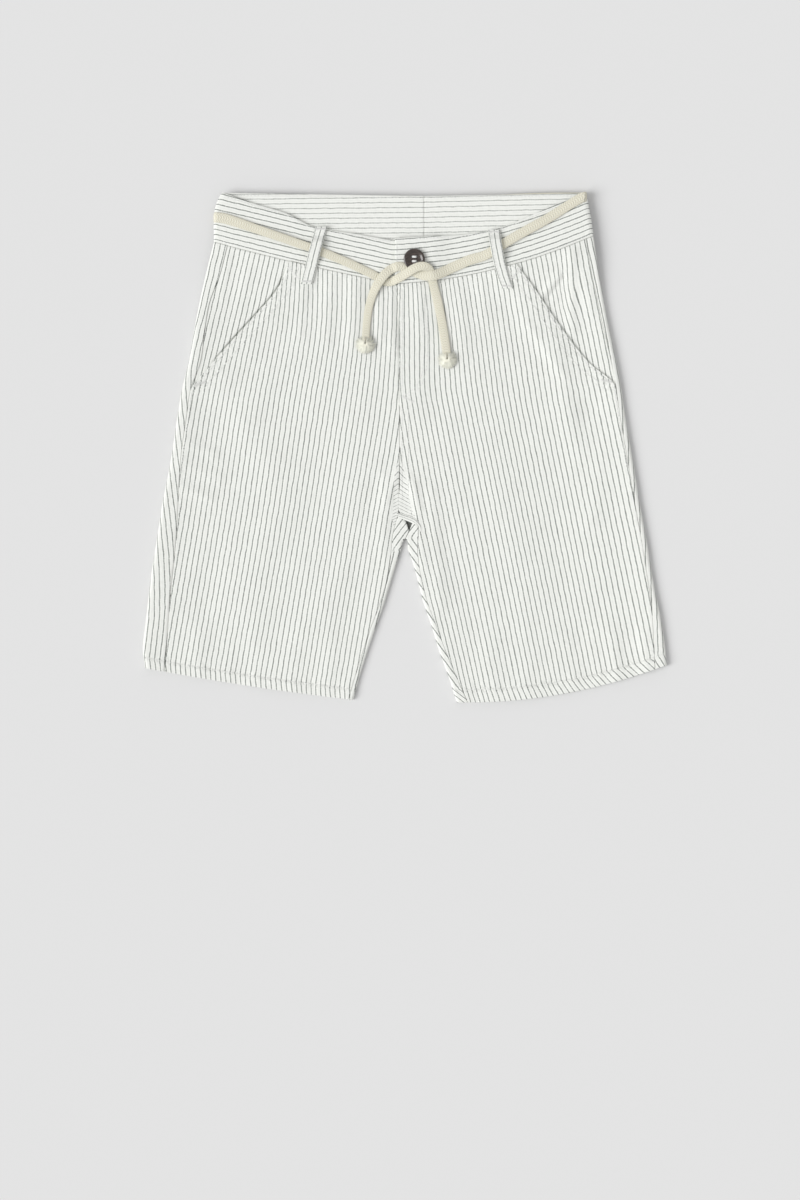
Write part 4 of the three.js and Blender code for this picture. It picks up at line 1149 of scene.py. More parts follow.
class Finish:
    """One material's nodes, made one by one."""

    def __init__(self, name):
        self.material = bpy.data.materials.new(name)
        self.material.use_nodes = True
        self.tree = self.material.node_tree
        self.tree.nodes.clear()

    def node(self, kind, settings=None, sockets=None, out=0):
        """A node of a kind with its settings, and values or links for its input sockets."""
        made = self.tree.nodes.new(kind)
        for name, setting in (settings or {}).items():
            if name == "stops":
                for k, (place, colour) in enumerate(setting):
                    stops = made.color_ramp.elements
                    stop = stops[k] if k < len(stops) else stops.new(place)
                    stop.position = place
                    stop.color = (*colour, 1)
            else:
                setattr(made, name, setting)
        for key, given in (sockets or {}).items():
            if isinstance(given, Value):
                self.tree.links.new(given.socket, made.inputs[key])
            elif given is not None:
                made.inputs[key].default_value = given
        return Value(self, made.outputs[out])

    def grain(self):
        """Places across and along the cloth, in millimetres, and the vector of both."""
        place = self.node("ShaderNodeUVMap", {"uv_map": "grain"})
        across = self.node("ShaderNodeSeparateXYZ", {}, {0: place}, out=0)
        along = self.node("ShaderNodeSeparateXYZ", {}, {0: place}, out=1)
        return place, across, along

    def mark(self, name):
        """A value that the mesh carries at its points."""
        return self.node("ShaderNodeAttribute", {"attribute_name": name}, out=2)

    def object_place(self):
        return self.node("ShaderNodeTexCoord", {}, {}, out=3)

    def noise(self, vector, scale, detail=2.0, roughness=0.5):
        sockets = {"Vector": vector, "Scale": scale, "Detail": detail, "Roughness": roughness}
        return self.node("ShaderNodeTexNoise", {"noise_dimensions": "3D"}, sockets)

    def mixed(self, factor, first, second):
        """Colours mixed by a factor."""
        return self.node("ShaderNodeMix", {"data_type": "RGBA"}, {0: factor, 6: first, 7: second}, out=2)

    def surface(self, **sockets):
        names = {key.replace("_", " "): given for key, given in sockets.items()}
        shader = self.node("ShaderNodeBsdfPrincipled", {}, names)
        output = self.tree.nodes.new("ShaderNodeOutputMaterial")
        self.tree.links.new(shader.socket, output.inputs["Surface"])
        return self.material

    def bump(self, height, distance, strength=1.0, onto=None):
        sockets = {"Strength": strength, "Distance": distance, "Height": height, "Normal": onto}
        return self.node("ShaderNodeBump", {}, sockets)


LIGHTEST = 0.98


def opaque(colour, share=1.0):
    """A colour with full alpha, made darker or lighter by a share."""
    return (*(min(part * share, LIGHTEST) for part in colour), 1.0)


# Weaves and twists, in millimetres
THREAD_PITCH = 0.62
DASH_LENGTH = 0.95
CORD_WEAVE_PITCH = 2.1
CORD_WEAVE_SLANT = 0.75
CORD_COLUMN_PITCH = 4.6
SEWING_TWIST_PITCH = 0.9


def striped_cotton(name, cloth):
    """Off-white plain weave with thin dashed grey-green stripes, a faint line between them, and painted
    shade in its folds and grooves.
    """
    finish = Finish(name)
    place, across, along = finish.grain()
    pucker = finish.mark("pucker")
    pitch = cloth.stripe_pitch / MM
    drift = finish.noise(place, 0.12, 2.0) - 0.5
    ripple = finish.noise(place, 0.42, 2.0) - 0.5
    steady = across + drift * 1.2 + ripple * (pucker * 2.2 + 0.25)
    from_stripe = steady.math("PINGPONG", pitch / 2)
    from_middle = (steady + pitch / 2).math("PINGPONG", pitch / 2)
    half = cloth.stripe_width / MM / 2
    line = from_stripe.stepped(half - 0.2, half + 0.2, 1.0, 0.0)
    faint = from_middle.stepped(0.2, 0.6, 1.0, 0.0)
    stripe_id = (steady / pitch + 0.5).math("FLOOR")
    dash_place = along + stripe_id * 0.83
    dash = dash_place.math("PINGPONG", DASH_LENGTH).stepped(0.1, 0.75)
    grains = finish.noise(place, 0.9, 2.0)
    thread = finish.noise(place, 2.6, 1.0)
    worn = finish.noise(place, 0.3, 2.0).stepped(0.35, 0.65, -0.16, 0.14)
    faded = finish.mark("faded")
    darkness = line * (0.73 + dash * 0.4 + (grains - 0.5) * 1.0 + worn) * (1.0 - faded)
    darkness = darkness + faint * 0.08 * (0.4 + thread)
    slub = (finish.noise(place, 0.35, 3.0) * 0.6 + thread * 0.4).stepped(0.35, 0.7)
    ground = finish.mixed(slub, opaque(cloth.cotton), opaque(cloth.cotton, 0.965))
    striped = finish.mixed(darkness, ground, opaque(cloth.stripe))
    # Painted shade: this mark darkens the colour towards a near-black tone in the grooves, along the fly's
    # lap and inside the crotch opening
    crevice = finish.mark("crevice")
    colour = finish.mixed(crevice, striped, opaque(cloth.crevice))
    warp = across.wave(THREAD_PITCH)
    weft = along.wave(THREAD_PITCH)
    crinkle = finish.noise(place, 0.3, 3.0) - 0.5
    creased = finish.bump(crinkle * (pucker * 2.5 + 1.0), 0.0006, 0.8)
    height = warp * weft * 0.5 + (thread - 0.5) * 0.8 - line * 0.5
    bump = finish.bump(height, 0.00012, 0.6, creased)
    return finish.surface(
        Base_Color=colour, Roughness=0.92, Sheen_Weight=0.15, Sheen_Roughness=0.5, IOR=1.45, Normal=bump,
    )


def woven_cord(name, cord):
    """Cream cotton cord: strands that cross in a herringbone, matt and slightly uneven, with painted shade
    in the weave's hollows.
    """
    finish = Finish(name)
    place, across, along = finish.grain()
    rising = (along + across * CORD_WEAVE_SLANT).wave(CORD_WEAVE_PITCH)
    falling = (along - across * CORD_WEAVE_SLANT).wave(CORD_WEAVE_PITCH)
    column = across.wave(CORD_COLUMN_PITCH).stepped(-0.25, 0.25)
    strand = rising * column + falling * (1 - column)
    fuzz = finish.noise(place, 1.4, 3.0)
    # Painted shade: the weave's hollows go towards a darker cream, and the fuzz adds random tone
    painted_hollow_shade = strand.stepped(-1.0, 0.3, 1.0, 0.0)
    deep = opaque(part * k for part, k in zip(cord.cream, (0.86, 0.83, 0.76)))
    colour = finish.mixed(painted_hollow_shade * 0.85 + (fuzz - 0.5) * 0.8, opaque(cord.cream), deep)
    height = strand * 0.6 + (fuzz - 0.5) * 0.8
    bump = finish.bump(height, 0.0003, 0.8)
    return finish.surface(Base_Color=colour, Roughness=0.95, Sheen_Weight=0.25, IOR=1.45, Normal=bump)


def loose_fibre(name, cord):
    """Frayed cotton: the cord's own strands, a little lighter where they spread."""
    finish = Finish(name)
    place, _, along = finish.grain()
    light = along.stepped(0.0, 7.0)
    fuzz = finish.noise(place, 1.1, 2.0)
    paleness = light * 0.9 + (fuzz - 0.5) * 0.4 + 0.2
    colour = finish.mixed(paleness, opaque(cord.cream), opaque(cord.cream, 1.32))
    bump = finish.bump(fuzz, 0.0001, 0.4)
    return finish.surface(Base_Color=colour, Roughness=0.95, Sheen_Weight=0.7, Normal=bump)


def sewing_thread(name, cloth):
    """White sewing thread with a fine twist."""
    finish = Finish(name)
    _, across, along = finish.grain()
    twist = (along * 2 + across).wave(SEWING_TWIST_PITCH)
    lit = twist.stepped(-1.0, 1.0, 0.0, 0.6)
    colour = finish.mixed(lit, opaque(cloth.thread, 0.86), opaque(cloth.thread))
    bump = finish.bump(twist, 0.00005, 0.5)
    return finish.surface(Base_Color=colour, Roughness=0.7, Sheen_Weight=0.2, Normal=bump)


def polished_horn(name, button):
    """Dark brown button: deep gloss with slightly lighter streaks."""
    finish = Finish(name)
    place = finish.object_place()
    streaks = finish.noise(finish.node("ShaderNodeMapping", {}, {0: place, 3: (260, 900, 900)}), 1.0, 4.0)
    colour = finish.mixed(streaks.stepped(0.45, 0.75), opaque(button.dark), opaque(button.dark, 2.6))
    rough = streaks.stepped(0.3, 0.8, 0.16, 0.3)
    bump = finish.bump(streaks, 0.00004, 0.25)
    return finish.surface(Base_Color=colour, Roughness=rough, IOR=1.52, Coat_Weight=0.35, Normal=bump)


def pale_table(name, stage):
    """Plain pale studio surface with a faint tone."""
    finish = Finish(name)
    place = finish.object_place()
    tone = finish.noise(place, 3.0, 2.0)
    colour = finish.mixed(tone, opaque(stage.floor), opaque(stage.floor, 0.995))
    return finish.surface(Base_Color=colour, Roughness=0.95, IOR=1.2)


# Settings


def length_setting(name, description, default):
    return bpy.props.FloatProperty(name=name, description=description, default=default, unit="LENGTH")


def colour_setting(name, description, default):
    return bpy.props.FloatVectorProperty(
        name=name, description=description, default=default, subtype="COLOR",
    )


def strength_setting(name, description, default):
    return bpy.props.FloatProperty(name=name, description=description, default=default)


class ClothSettings(bpy.types.PropertyGroup):
    """The striped cotton and its sewing."""

    stripe_pitch: length_setting("Stripe pitch", "From one stripe to the next", 0.00414)
    stripe_width: length_setting("Stripe width", "Width of one stripe", 0.0008)
    cotton: colour_setting("Cotton", "Off-white ground of the cloth", (0.885, 0.895, 0.855))
    stripe: colour_setting("Stripe", "Grey-green of the stripes", (0.19, 0.207, 0.19))
    # Painted shade: the near-black tone the cloth is darkened towards where it lies in shade
    crevice: colour_setting("Crevice", "Tone deep in a fold", (0.08, 0.085, 0.075))
    thread: colour_setting("Thread", "Sewing thread", (0.88, 0.88, 0.86))
    stitch_pitch: length_setting("Stitch pitch", "From one stitch to the next", 0.0028)


class CordSettings(bpy.types.PropertyGroup):
    """The belt cord."""

    cream: colour_setting("Cream", "Colour of the cord", (0.79, 0.77, 0.655))
    frayed_strands: bpy.props.IntProperty(
        name="Frayed strands", description="Loose strands at each tip", default=560,
    )


class ButtonSettings(bpy.types.PropertyGroup):
    """The waist button."""

    dark: colour_setting("Dark", "Colour of the button", (0.035, 0.024, 0.02))
    hole: length_setting("Hole", "Diameter of each hole", 0.0018)


class StageSettings(bpy.types.PropertyGroup):
    """Table, light and camera."""

    floor: colour_setting("Table", "Colour of the table", (0.735, 0.735, 0.735))
    camera_height: length_setting("Camera height", "From the table to the camera", 2.6)
    sun_strength: strength_setting("Key light", "Strength of the soft light from the left", 2.18)
    fill_strength: strength_setting("Fill light", "Strength of the light from all round", 0.6)


# Sewing


class Stitching:
    """Many small stitches gathered into one mesh."""

    ends = ((-0.5, 0.45, -0.16), (-0.28, 1.0, 0.0), (0.28, 1.0, 0.0), (0.5, 0.45, -0.16))
    sides = 6

    def __init__(self):
        self.points = []
        self.faces = []
        self.places = []

    def stitch(self, start, stop, radius=STITCH_RADIUS, up=(0, 0, 1)):
        """One stitch from start to stop, its ends drawn into the cloth."""
        start, stop, up = (np.asarray(part, float) for part in (start, stop, up))
        way = stop - start
        length = np.linalg.norm(way)
        way = way / length
        across = np.cross(up, way)
        across /= np.linalg.norm(across)
        normal = np.cross(way, across)
        centre = (start + stop) / 2
        base = len(self.points)
        for place, share, dip in self.ends:
            for k in range(self.sides):
                angle = 2 * math.pi * k / self.sides
                side = across * math.cos(angle) + normal * math.sin(angle)
                point = centre + way * place * length + normal * dip + side * radius * share
                self.points.append(point)
                self.places.append((k * 0.25, place * length))
        self.faces += rod_faces(base, len(self.ends), self.sides)

    def row(self, points, pitch, share=0.72, radius=STITCH_RADIUS, up=(0, 0, 1)):
        """A row of stitches along a line of places on the cloth."""
        points = np.asarray(points, float)
        run = running(lengths(np.diff(points, axis=0)))

        def place(s):
            return np.array([np.interp(s, run, points[:, k]) for k in range(3)])

        for k in range(int(run[-1] / pitch)):
            s = (k + 0.5) * pitch
            self.stitch(place(s - pitch * share / 2), place(s + pitch * share / 2), radius, up)

    def tack(self, start, stop, width, count=13, radius=STITCH_RADIUS):
        """A bar tack: close stitches laid side by side across a short line."""
        start, stop = np.asarray(start, float), np.asarray(stop, float)
        way = stop - start
        across = np.array([-way[1], way[0], 0.0])
        across *= width / 2 / np.linalg.norm(across)
        for k in range(count):
            centre = lerp(start, stop, k / (count - 1))
            lean = way / count * 0.4
            self.stitch(centre - across - lean, centre + across + lean, radius)

    def made(self, name, finish):
        return made_piece(name, self.points, self.faces, self.places, finish)


STITCH_LIFT = 0.1
TACK_WIDTH = 2.2


def on_front(leg, t, x):
    """A place on a front panel's top."""
    row = leg_row(leg, t)
    y = float(on_row(row, x))
    return np.array([x, y, float(front_top(leg, row, x, y)) + STITCH_LIFT])


def at_place(leg, x, y):
    """A place on a front panel's top, from its X and Y."""
    return np.array([x, y, float(front_top(leg, row_through(leg, x, y), x, y)) + STITCH_LIFT])


def panel_sewing(name, leg, finish, pitch):
    """Pocket mouth, side seam and hem stitches of one leg, with bar tacks at the ends of the pocket mouth.
    """
    sewing = Stitching()
    rows = np.arange(0.15, 4.95, 0.1)
    for inside in MOUTH_ROWS:
        line = [on_front(leg, t, leg_row(leg, t).mouth_x - leg.side * inside) for t in rows]
        sewing.row(line, pitch)
    seam_rows = np.arange(5.0, 8.0, 0.1)
    sewing.row([on_front(leg, t, leg_row(leg, t).seam_x - leg.side * 1.6) for t in seam_rows], pitch)
    hem = leg_row(leg, HEM_ROW)
    x = np.linspace(hem.seam_x, hem.inner[0], 60)
    sewing.row([on_front(leg, HEM_ROW, part) for part in x], pitch)
    x = np.linspace(hem.outer[0] - leg.side * 4, hem.seam_x, 8)
    sewing.row([on_front(leg, HEM_ROW, part) for part in x], pitch)
    tack_top = leg_row(leg, 0.25).mouth_x
    sewing.tack(
        on_front(leg, 0.2, tack_top - leg.side * 0.6), on_front(leg, 0.55, tack_top - leg.side * 10),
        TACK_WIDTH,
    )
    low = leg_row(leg, 4.85).mouth_x
    sewing.tack(
        on_front(leg, 4.85, low - leg.side * 1.2), on_front(leg, 4.65, low - leg.side * 9.5), TACK_WIDTH,
    )
    return sewing.made(f"stitches_leg_{name}", finish)


FLY_STITCH = ((18.5, 122), (18.5, 96), (18.2, 72), (16.6, 58), (12.4, 48.5), (5.4, 42.5), (-1.8, 38.6))


def fly_sewing(finish, pitch):
    """The fly's curved double row, its bar tack and the seam below it."""
    sewing = Stitching()
    leg = LEGS["left"]
    route = np.array(FLY_STITCH)
    run = running(np.hypot(*np.diff(route, axis=0).T))
    at = np.linspace(0, run[-1], 60)
    x, y = (curve(run, route[:, k], at) for k in range(2))
    for inward in (0, 2.6):
        sewing.row([at_place(leg, a - inward, b + inward * 0.4) for a, b in zip(x, y)], pitch)
    for beside, low in ((-1.9, -46), (3.2, -40)):
        sewing.row([at_place(leg, beside, part) for part in np.arange(34, low, -3.0)], pitch)
    sewing.tack(at_place(leg, -1.2, 40.5), at_place(leg, 7.5, 36.5), TACK_WIDTH)
    sewing.row([at_place(leg, -1.8, part) for part in np.arange(126, 44, -3.0)], pitch)
    return sewing.made("stitches_fly", finish)


def band_sewing(name, band, finish, pitch):
    """Stitches along both edges of a waistband, and down the front end of the left band, which lies on top.
    """
    sewing = Stitching()
    lift = np.array([0, 0, STITCH_LIFT])
    start = 0.06 if band.leg.side > 0 else 1.1
    for v in (0.05, 0.95):
        line = [band_line(band, t, np.array([v]))[0] + lift for t in np.arange(start, 6, 0.06)]
        sewing.row(line, pitch)
        shares = np.linspace(0.01, 0.985, 90)
        back = np.array([band_back_line(band, share, np.array([v]))[0] for share in shares])
        sewing.row(back + (0, 0, BAND_SHOWN + STITCH_LIFT), pitch)
        sewing.row(back - lift, pitch, up=(0, 0, -1))
    if band.leg.side > 0:
        end = [band_line(band, 0.06, np.array([v]))[0] + lift for v in np.linspace(0.05, 0.95, 12)]
        sewing.row(end, pitch)
    return sewing.made(f"stitches_waistband_{name}", finish)


def loop_sewing(name, centre, facing, finish, pitch):
    """Two rows along a loop and bar tacks at its ends."""
    sewing = Stitching()
    steps = np.linspace(0.03, 0.97, 40)
    for side in (-0.66, 0.66):
        line = []
        for s in steps:
            x, y, z = centre(s)
            line.append((x + side * LOOP_WIDTH / 2, y, z + facing * (STITCH_LIFT - 0.05)))
        sewing.row(line, pitch, up=(0, 0, facing))
    for s in (0.04, 0.955):
        x, y, z = centre(s)
        place = np.array([0, y, z + facing * STITCH_LIFT])
        sewing.tack(place + (x - 3.8, 0, 0), place + (x + 3.8, 0, 0), 1.7, 15)
    return sewing.made(name, finish)


# Operators


def settings():
    scene = bpy.context.scene
    return scene.shorts_cloth, scene.shorts_cord, scene.shorts_button, scene.shorts_stage


def shared(name, maker, *given):
    """A material that several pieces share, made when it is first asked for."""
    return bpy.data.materials.get(name) or maker(name, *given)


def cotton_work(name="cotton_striped"):
    """A striped cotton and the pitch of its stripes, in millimetres."""
    cloth = settings()[0]
    return shared(name, striped_cotton, cloth), cloth.stripe_pitch / MM


def sewing_work():
    """The sewing thread and the pitch of its stitches, in millimetres."""
    cloth = settings()[0]
    return shared("thread_white", sewing_thread, cloth), cloth.stitch_pitch / MM


CAMERA_X = -0.0039
CAMERA_Y = -0.1216
FRAME_HEIGHT = 0.96
SENSOR_WIDTH = 36


class SHORTS_OT_camera(bpy.types.Operator):
    """Put the camera straight above the table, with the shorts in the upper part of the frame"""

    bl_idname = "shorts.camera"
    bl_label = "Camera"

    def execute(self, context):
        stage = settings()[3]
        bpy.ops.object.camera_add(location=(CAMERA_X, CAMERA_Y, stage.camera_height), rotation=(0, 0, 0))
        camera = context.object
        camera.name = "camera"
        camera.data.sensor_width = SENSOR_WIDTH
        camera.data.lens = SENSOR_WIDTH * stage.camera_height / FRAME_HEIGHT
        camera.data.clip_end = 20
        context.scene.camera = camera
        return {"FINISHED"}


STRAND_RINGS = 7
STRAND_SIDES = 3
MOST_SPREAD = 2.7


def tip_strands(name, place, tip, count, finish, seed):
    """The frayed strands that spread from a tip's knot like a small tuft."""
    draw = random.Random(seed)
    points, faces, places = [], [], []
    base_angle = math.atan2(tip.heading[1], tip.heading[0])
    for _ in range(count):
        spread = max(-MOST_SPREAD, min(MOST_SPREAD, draw.gauss(0, MOST_SPREAD / 2)))
        angle = base_angle + spread
        rise = draw.uniform(0.35, 1.0)
        reach = tip.radius * draw.uniform(0.6, 1.12) * (1 - 0.03 * spread * spread)
        bend = draw.gauss(0, 0.45)
        thick = draw.uniform(0.28, 0.44)
        start = len(points)
        for ring in range(STRAND_RINGS):
            s = ring / (STRAND_RINGS - 1)
            turn = angle + bend * s * s
            out = reach * (0.12 + 0.88 * s)
            x = place[0] + math.cos(turn) * out
            y = place[1] + math.sin(turn) * out
            z = place[2] + rise * 3.0 * (1 - s * s) - 1.5 * s * s
            radius = thick * (1 - 0.5 * s)
            for k in range(STRAND_SIDES):
                around = 2 * math.pi * k / STRAND_SIDES
                aside, over = radius * math.cos(around), radius * math.sin(around)
                points.append((x - math.sin(turn) * aside, y + math.cos(turn) * aside, z + over))
                places.append((k * 0.3, out))
        faces += rod_faces(start, STRAND_RINGS, STRAND_SIDES)
    return made_piece(name, points, faces, places, finish, None)


def tip_knot(name, place, heading, finish, node, width):
    """The overhand knot at a cord's end: one strand that goes twice round and through itself."""
    steps, sides, tube = 120, 10, 1.7
    t = np.linspace(0, 2 * np.pi, steps, endpoint=False)
    knot = np.stack([np.sin(t) + 2 * np.sin(2 * t), np.cos(t) - 2 * np.cos(2 * t), -np.sin(3 * t)], -1)
    knot *= ((width / 2 - tube) / 3, (width / 2 - tube) / 3, 1.0)
    tangent = unit(np.roll(knot, -1, axis=0) - np.roll(knot, 1, axis=0))
    across = unit(np.cross(tangent, facing_up(tangent)))
    normal = np.cross(across, tangent)
    around = 2 * np.pi * np.arange(sides) / sides
    rings = knot[:, None] + tube * (
        across[:, None] * np.cos(around)[:, None] + 0.8 * normal[:, None] * np.sin(around)[:, None]
    )
    turn = math.atan2(heading[1], heading[0]) - math.pi / 2
    cos, sin = math.cos(turn), math.sin(turn)
    flat = rings.reshape(-1, 3)
    placed = np.stack([
        place[0] + flat[:, 0] * cos - flat[:, 1] * sin,
        place[1] + flat[:, 0] * sin + flat[:, 1] * cos,
        place[2] + flat[:, 2],
    ], -1)
    number = np.arange(steps * sides).reshape(steps, sides)
    after = np.roll(number, -1, axis=1)
    following = np.roll(number, -1, axis=0)
    faces = np.stack([number, following, np.roll(after, -1, axis=0), after], -1).reshape(-1, 4)
    run = np.broadcast_to((np.arange(steps) * 0.55)[:, None], (steps, sides))
    uv = np.stack([np.broadcast_to(around * 1.6, (steps, sides)), run], -1).reshape(-1, 2)
    return made_piece(name, placed, outwards(placed, faces), uv, finish, node)


CORD_TIPS = {
    "right": SimpleNamespace(centre=(-30.9, 83.4), heading=(-0.06, -1), radius=8.0),
    "left": SimpleNamespace(centre=(34.4, 71.2), heading=(0.1, -1), radius=7.8),
}
KNOT_SHARE = 0.62
TIP_LIFT = 2.7
END_ROUTES = {"right": END_RIGHT, "left": END_LEFT}


class SHORTS_OT_cord_ends(bpy.types.Operator):
    """Lay the two free ends of the belt cord with their knotted and frayed tips"""

    bl_idname = "shorts.cord_ends"
    bl_label = "Cord ends"

    def execute(self, context):
        cord = settings()[1]
        weave = shared("cord_cream", woven_cord, cord)
        fibre = shared("cord_fibre", loose_fibre, cord)
        for seed, (name, route) in enumerate(END_ROUTES.items()):
            stations = front_stations(route, 0.9)
            end = flat_cord(f"cord_end_{name}_cloth", stations, weave, f"cord_end_{name}")
            tip = CORD_TIPS[name]
            x, y = tip.centre
            z = cloth_top(x, y) + TIP_LIFT
            knot = tip_knot(
                f"cord_tip_{name}_knot", (x, y, z), tip.heading, weave, f"cord_tip_{name}",
                tip.radius * 2 * KNOT_SHARE,
            )
            strands = tip_strands(
                f"cord_tip_{name}_strands", (x, y, z), tip, cord.frayed_strands, fibre, 11 + seed,
            )
            path = (stations[0] - (CENTRE_X, 0, 0)) * MM
        return {"FINISHED"}


class SHORTS_OT_belt_cord(bpy.types.Operator):
    """Thread the belt cord round the waist and tie its half knot under the button"""

    bl_idname = "shorts.belt_cord"
    bl_label = "Belt cord"

    def execute(self, context):
        weave = shared("cord_cream", woven_cord, settings()[1])
        right = (KNOT_FROM_RIGHT["x"][-1], KNOT_FROM_RIGHT["y"][-1])
        left = (KNOT_FROM_LEFT["x"][0], KNOT_FROM_LEFT["y"][0])
        stations = joined(
            front_stations(KNOT_FROM_RIGHT),
            side_turn(*right, -1),
            back_run(right, left),
            reversed_run(side_turn(*left, 1)),
            front_stations(KNOT_FROM_LEFT),
        )
        flat_cord("belt_cord_cloth", stations, weave, "belt_cord")
        return {"FINISHED"}


class SHORTS_OT_back_panels(bpy.types.Operator):
    """Lay the two back panels, which roll round the side folds to the front"""

    bl_idname = "shorts.back_panels"
    bl_label = "Back panels"

    def execute(self, context):
        for name, leg in LEGS.items():
            piece = back_panel(name, leg, *cotton_work())
        return {"FINISHED"}


class SHORTS_OT_pocket_facings(bpy.types.Operator):
    """Lay the hip pieces that show inside the pocket mouths"""

    bl_idname = "shorts.pocket_facings"
    bl_label = "Pocket facings"

    def execute(self, context):
        for name, leg in LEGS.items():
            piece = pocket_facing(name, leg, *cotton_work())
        return {"FINISHED"}


LIP_COLUMNS = ("x", "y", "width")
CROTCH_LIP = table(LIP_COLUMNS, [
    (-7.2, -52.6, 1), (-5.4, -53.3, 2.6), (-1.5, -54.6, 4.2), (3.8, -56.4, 5.4), (8, -58.4, 4.8),
    (11, -61, 3), (12.8, -64, 1.6), (13.2, -67, 0.8),
])
LIP_SIDES = 12


def crotch_lip(finish):
    """The left front's edge turned over above the crotch opening, plain side up."""
    leg = LEGS["left"]
    count = 40
    at = np.linspace(0, 1, count)
    knots = np.linspace(0, 1, len(CROTCH_LIP["x"]))
    x, y, width = (curve(knots, CROTCH_LIP[name], at) for name in LIP_COLUMNS)
    z = np.array([float(top_height(row_through(leg, a, b), a, b)) for a, b in zip(x, y)])
    middle = np.stack([x, y, z - 0.15], -1)
    way = np.gradient(middle, axis=0)
    across = unit(np.stack([-way[:, 1], way[:, 0], 0 * x], -1))
    angles = 2 * np.pi * np.arange(LIP_SIDES) / LIP_SIDES
    wide = np.cos(angles)[None, :, None] * (across * width[:, None] / 2)[:, None]
    high = np.sin(angles)[None, :, None] * (np.array([0, 0, 0.42]) * (width[:, None] ** 0.6))[:, None]
    rings = middle[:, None] + wide + high
    number, _, sides = tube_quads(count, LIP_SIDES)
    places = rings.reshape(-1, 3)
    faces = outwards(places, sides).tolist()
    ends = [number[0].tolist(), number[-1].tolist()]
    faces += [ends[0], ends[1][::-1]]
    lines = 2.07 + 1.2 * width[:, None] * np.cos(angles)[None, :]
    uv = np.stack(np.broadcast_arrays(lines, 30 * at[:, None]), -1)
    return made_piece("front_left_lip", places, faces, uv.reshape(-1, 2), finish)


class SHORTS_OT_front_panels(bpy.types.Operator):
    """Lay the two front panels with their creases, and sew them"""

    bl_idname = "shorts.front_panels"
    bl_label = "Front panels"

    def execute(self, context):
        cotton, stripe_pitch = cotton_work()
        fly = fly_sewing(*sewing_work())
        for name, leg in LEGS.items():
            piece = front_panel(name, leg, cotton, stripe_pitch)
            sewn = [panel_sewing(name, leg, *sewing_work())]
            if leg.side > 0:
                sewn += [fly, crotch_lip(cotton)]
        return {"FINISHED"}


class SHORTS_OT_waistbands(bpy.types.Operator):
    """Lay the two halves of the waistband and sew their edges"""

    bl_idname = "shorts.waistbands"
    bl_label = "Waistband"

    def execute(self, context):
        for name, band in BANDS.items():
            piece = waistband(name, band, *cotton_work("cotton_band"))
            sewn = band_sewing(name, band, *sewing_work())
        return {"FINISHED"}


class SHORTS_OT_belt_loops(bpy.types.Operator):
    """Sew the two front loops and the three back loops over the belt cord"""

    bl_idname = "shorts.belt_loops"
    bl_label = "Belt loops"

    def execute(self, context):
        for name, loop in FRONT_LOOPS.items():
            centre = partial(front_loop_centre, loop)
            self.sewn_on(f"front_{name}", centre, 1, "front_loop", f"waistband_{name}_cloth")
        for name, place in BACK_LOOPS.items():
            centre = partial(back_loop_centre, place)
            self.sewn_on(f"back_{name}", centre, -1, "back_loop", "floor")
        return {"FINISHED"}

    def sewn_on(self, name, centre, facing, cut, rests_on):
        """One loop along its centre line, with its stitches."""
        node = f"belt_loop_{name}"
        piece = belt_loop(f"{node}_cloth", centre, facing, cotton_work("cotton_band")[0], node)
        sewn = loop_sewing(f"stitches_loop_{name}", centre, facing, *sewing_work())


BUTTON_PLACE = (8, 150)
BUTTON_LIFT = 0.45
HOLE_PLACE = 1.75
EDGE_ROUNDING = 0.18
# The turned outline: share of the radius and share of the thickness, from the foot to the sunk floor
FOOT_SHARE = 0.55
BUTTON_FLOOR_SHARE = 0.63
BUTTON_TURNING = (
    (0.94, 0.35), (1.0, 0.62), (0.96, 0.88), (0.86, 1.0), (0.76, 0.95), (0.66, 0.7), (0.6, 0.63),
)


def button_tilt():
    x, y = BUTTON_PLACE
    return math.atan((cloth_top(x, y + 8) - cloth_top(x, y - 8)) / 16)


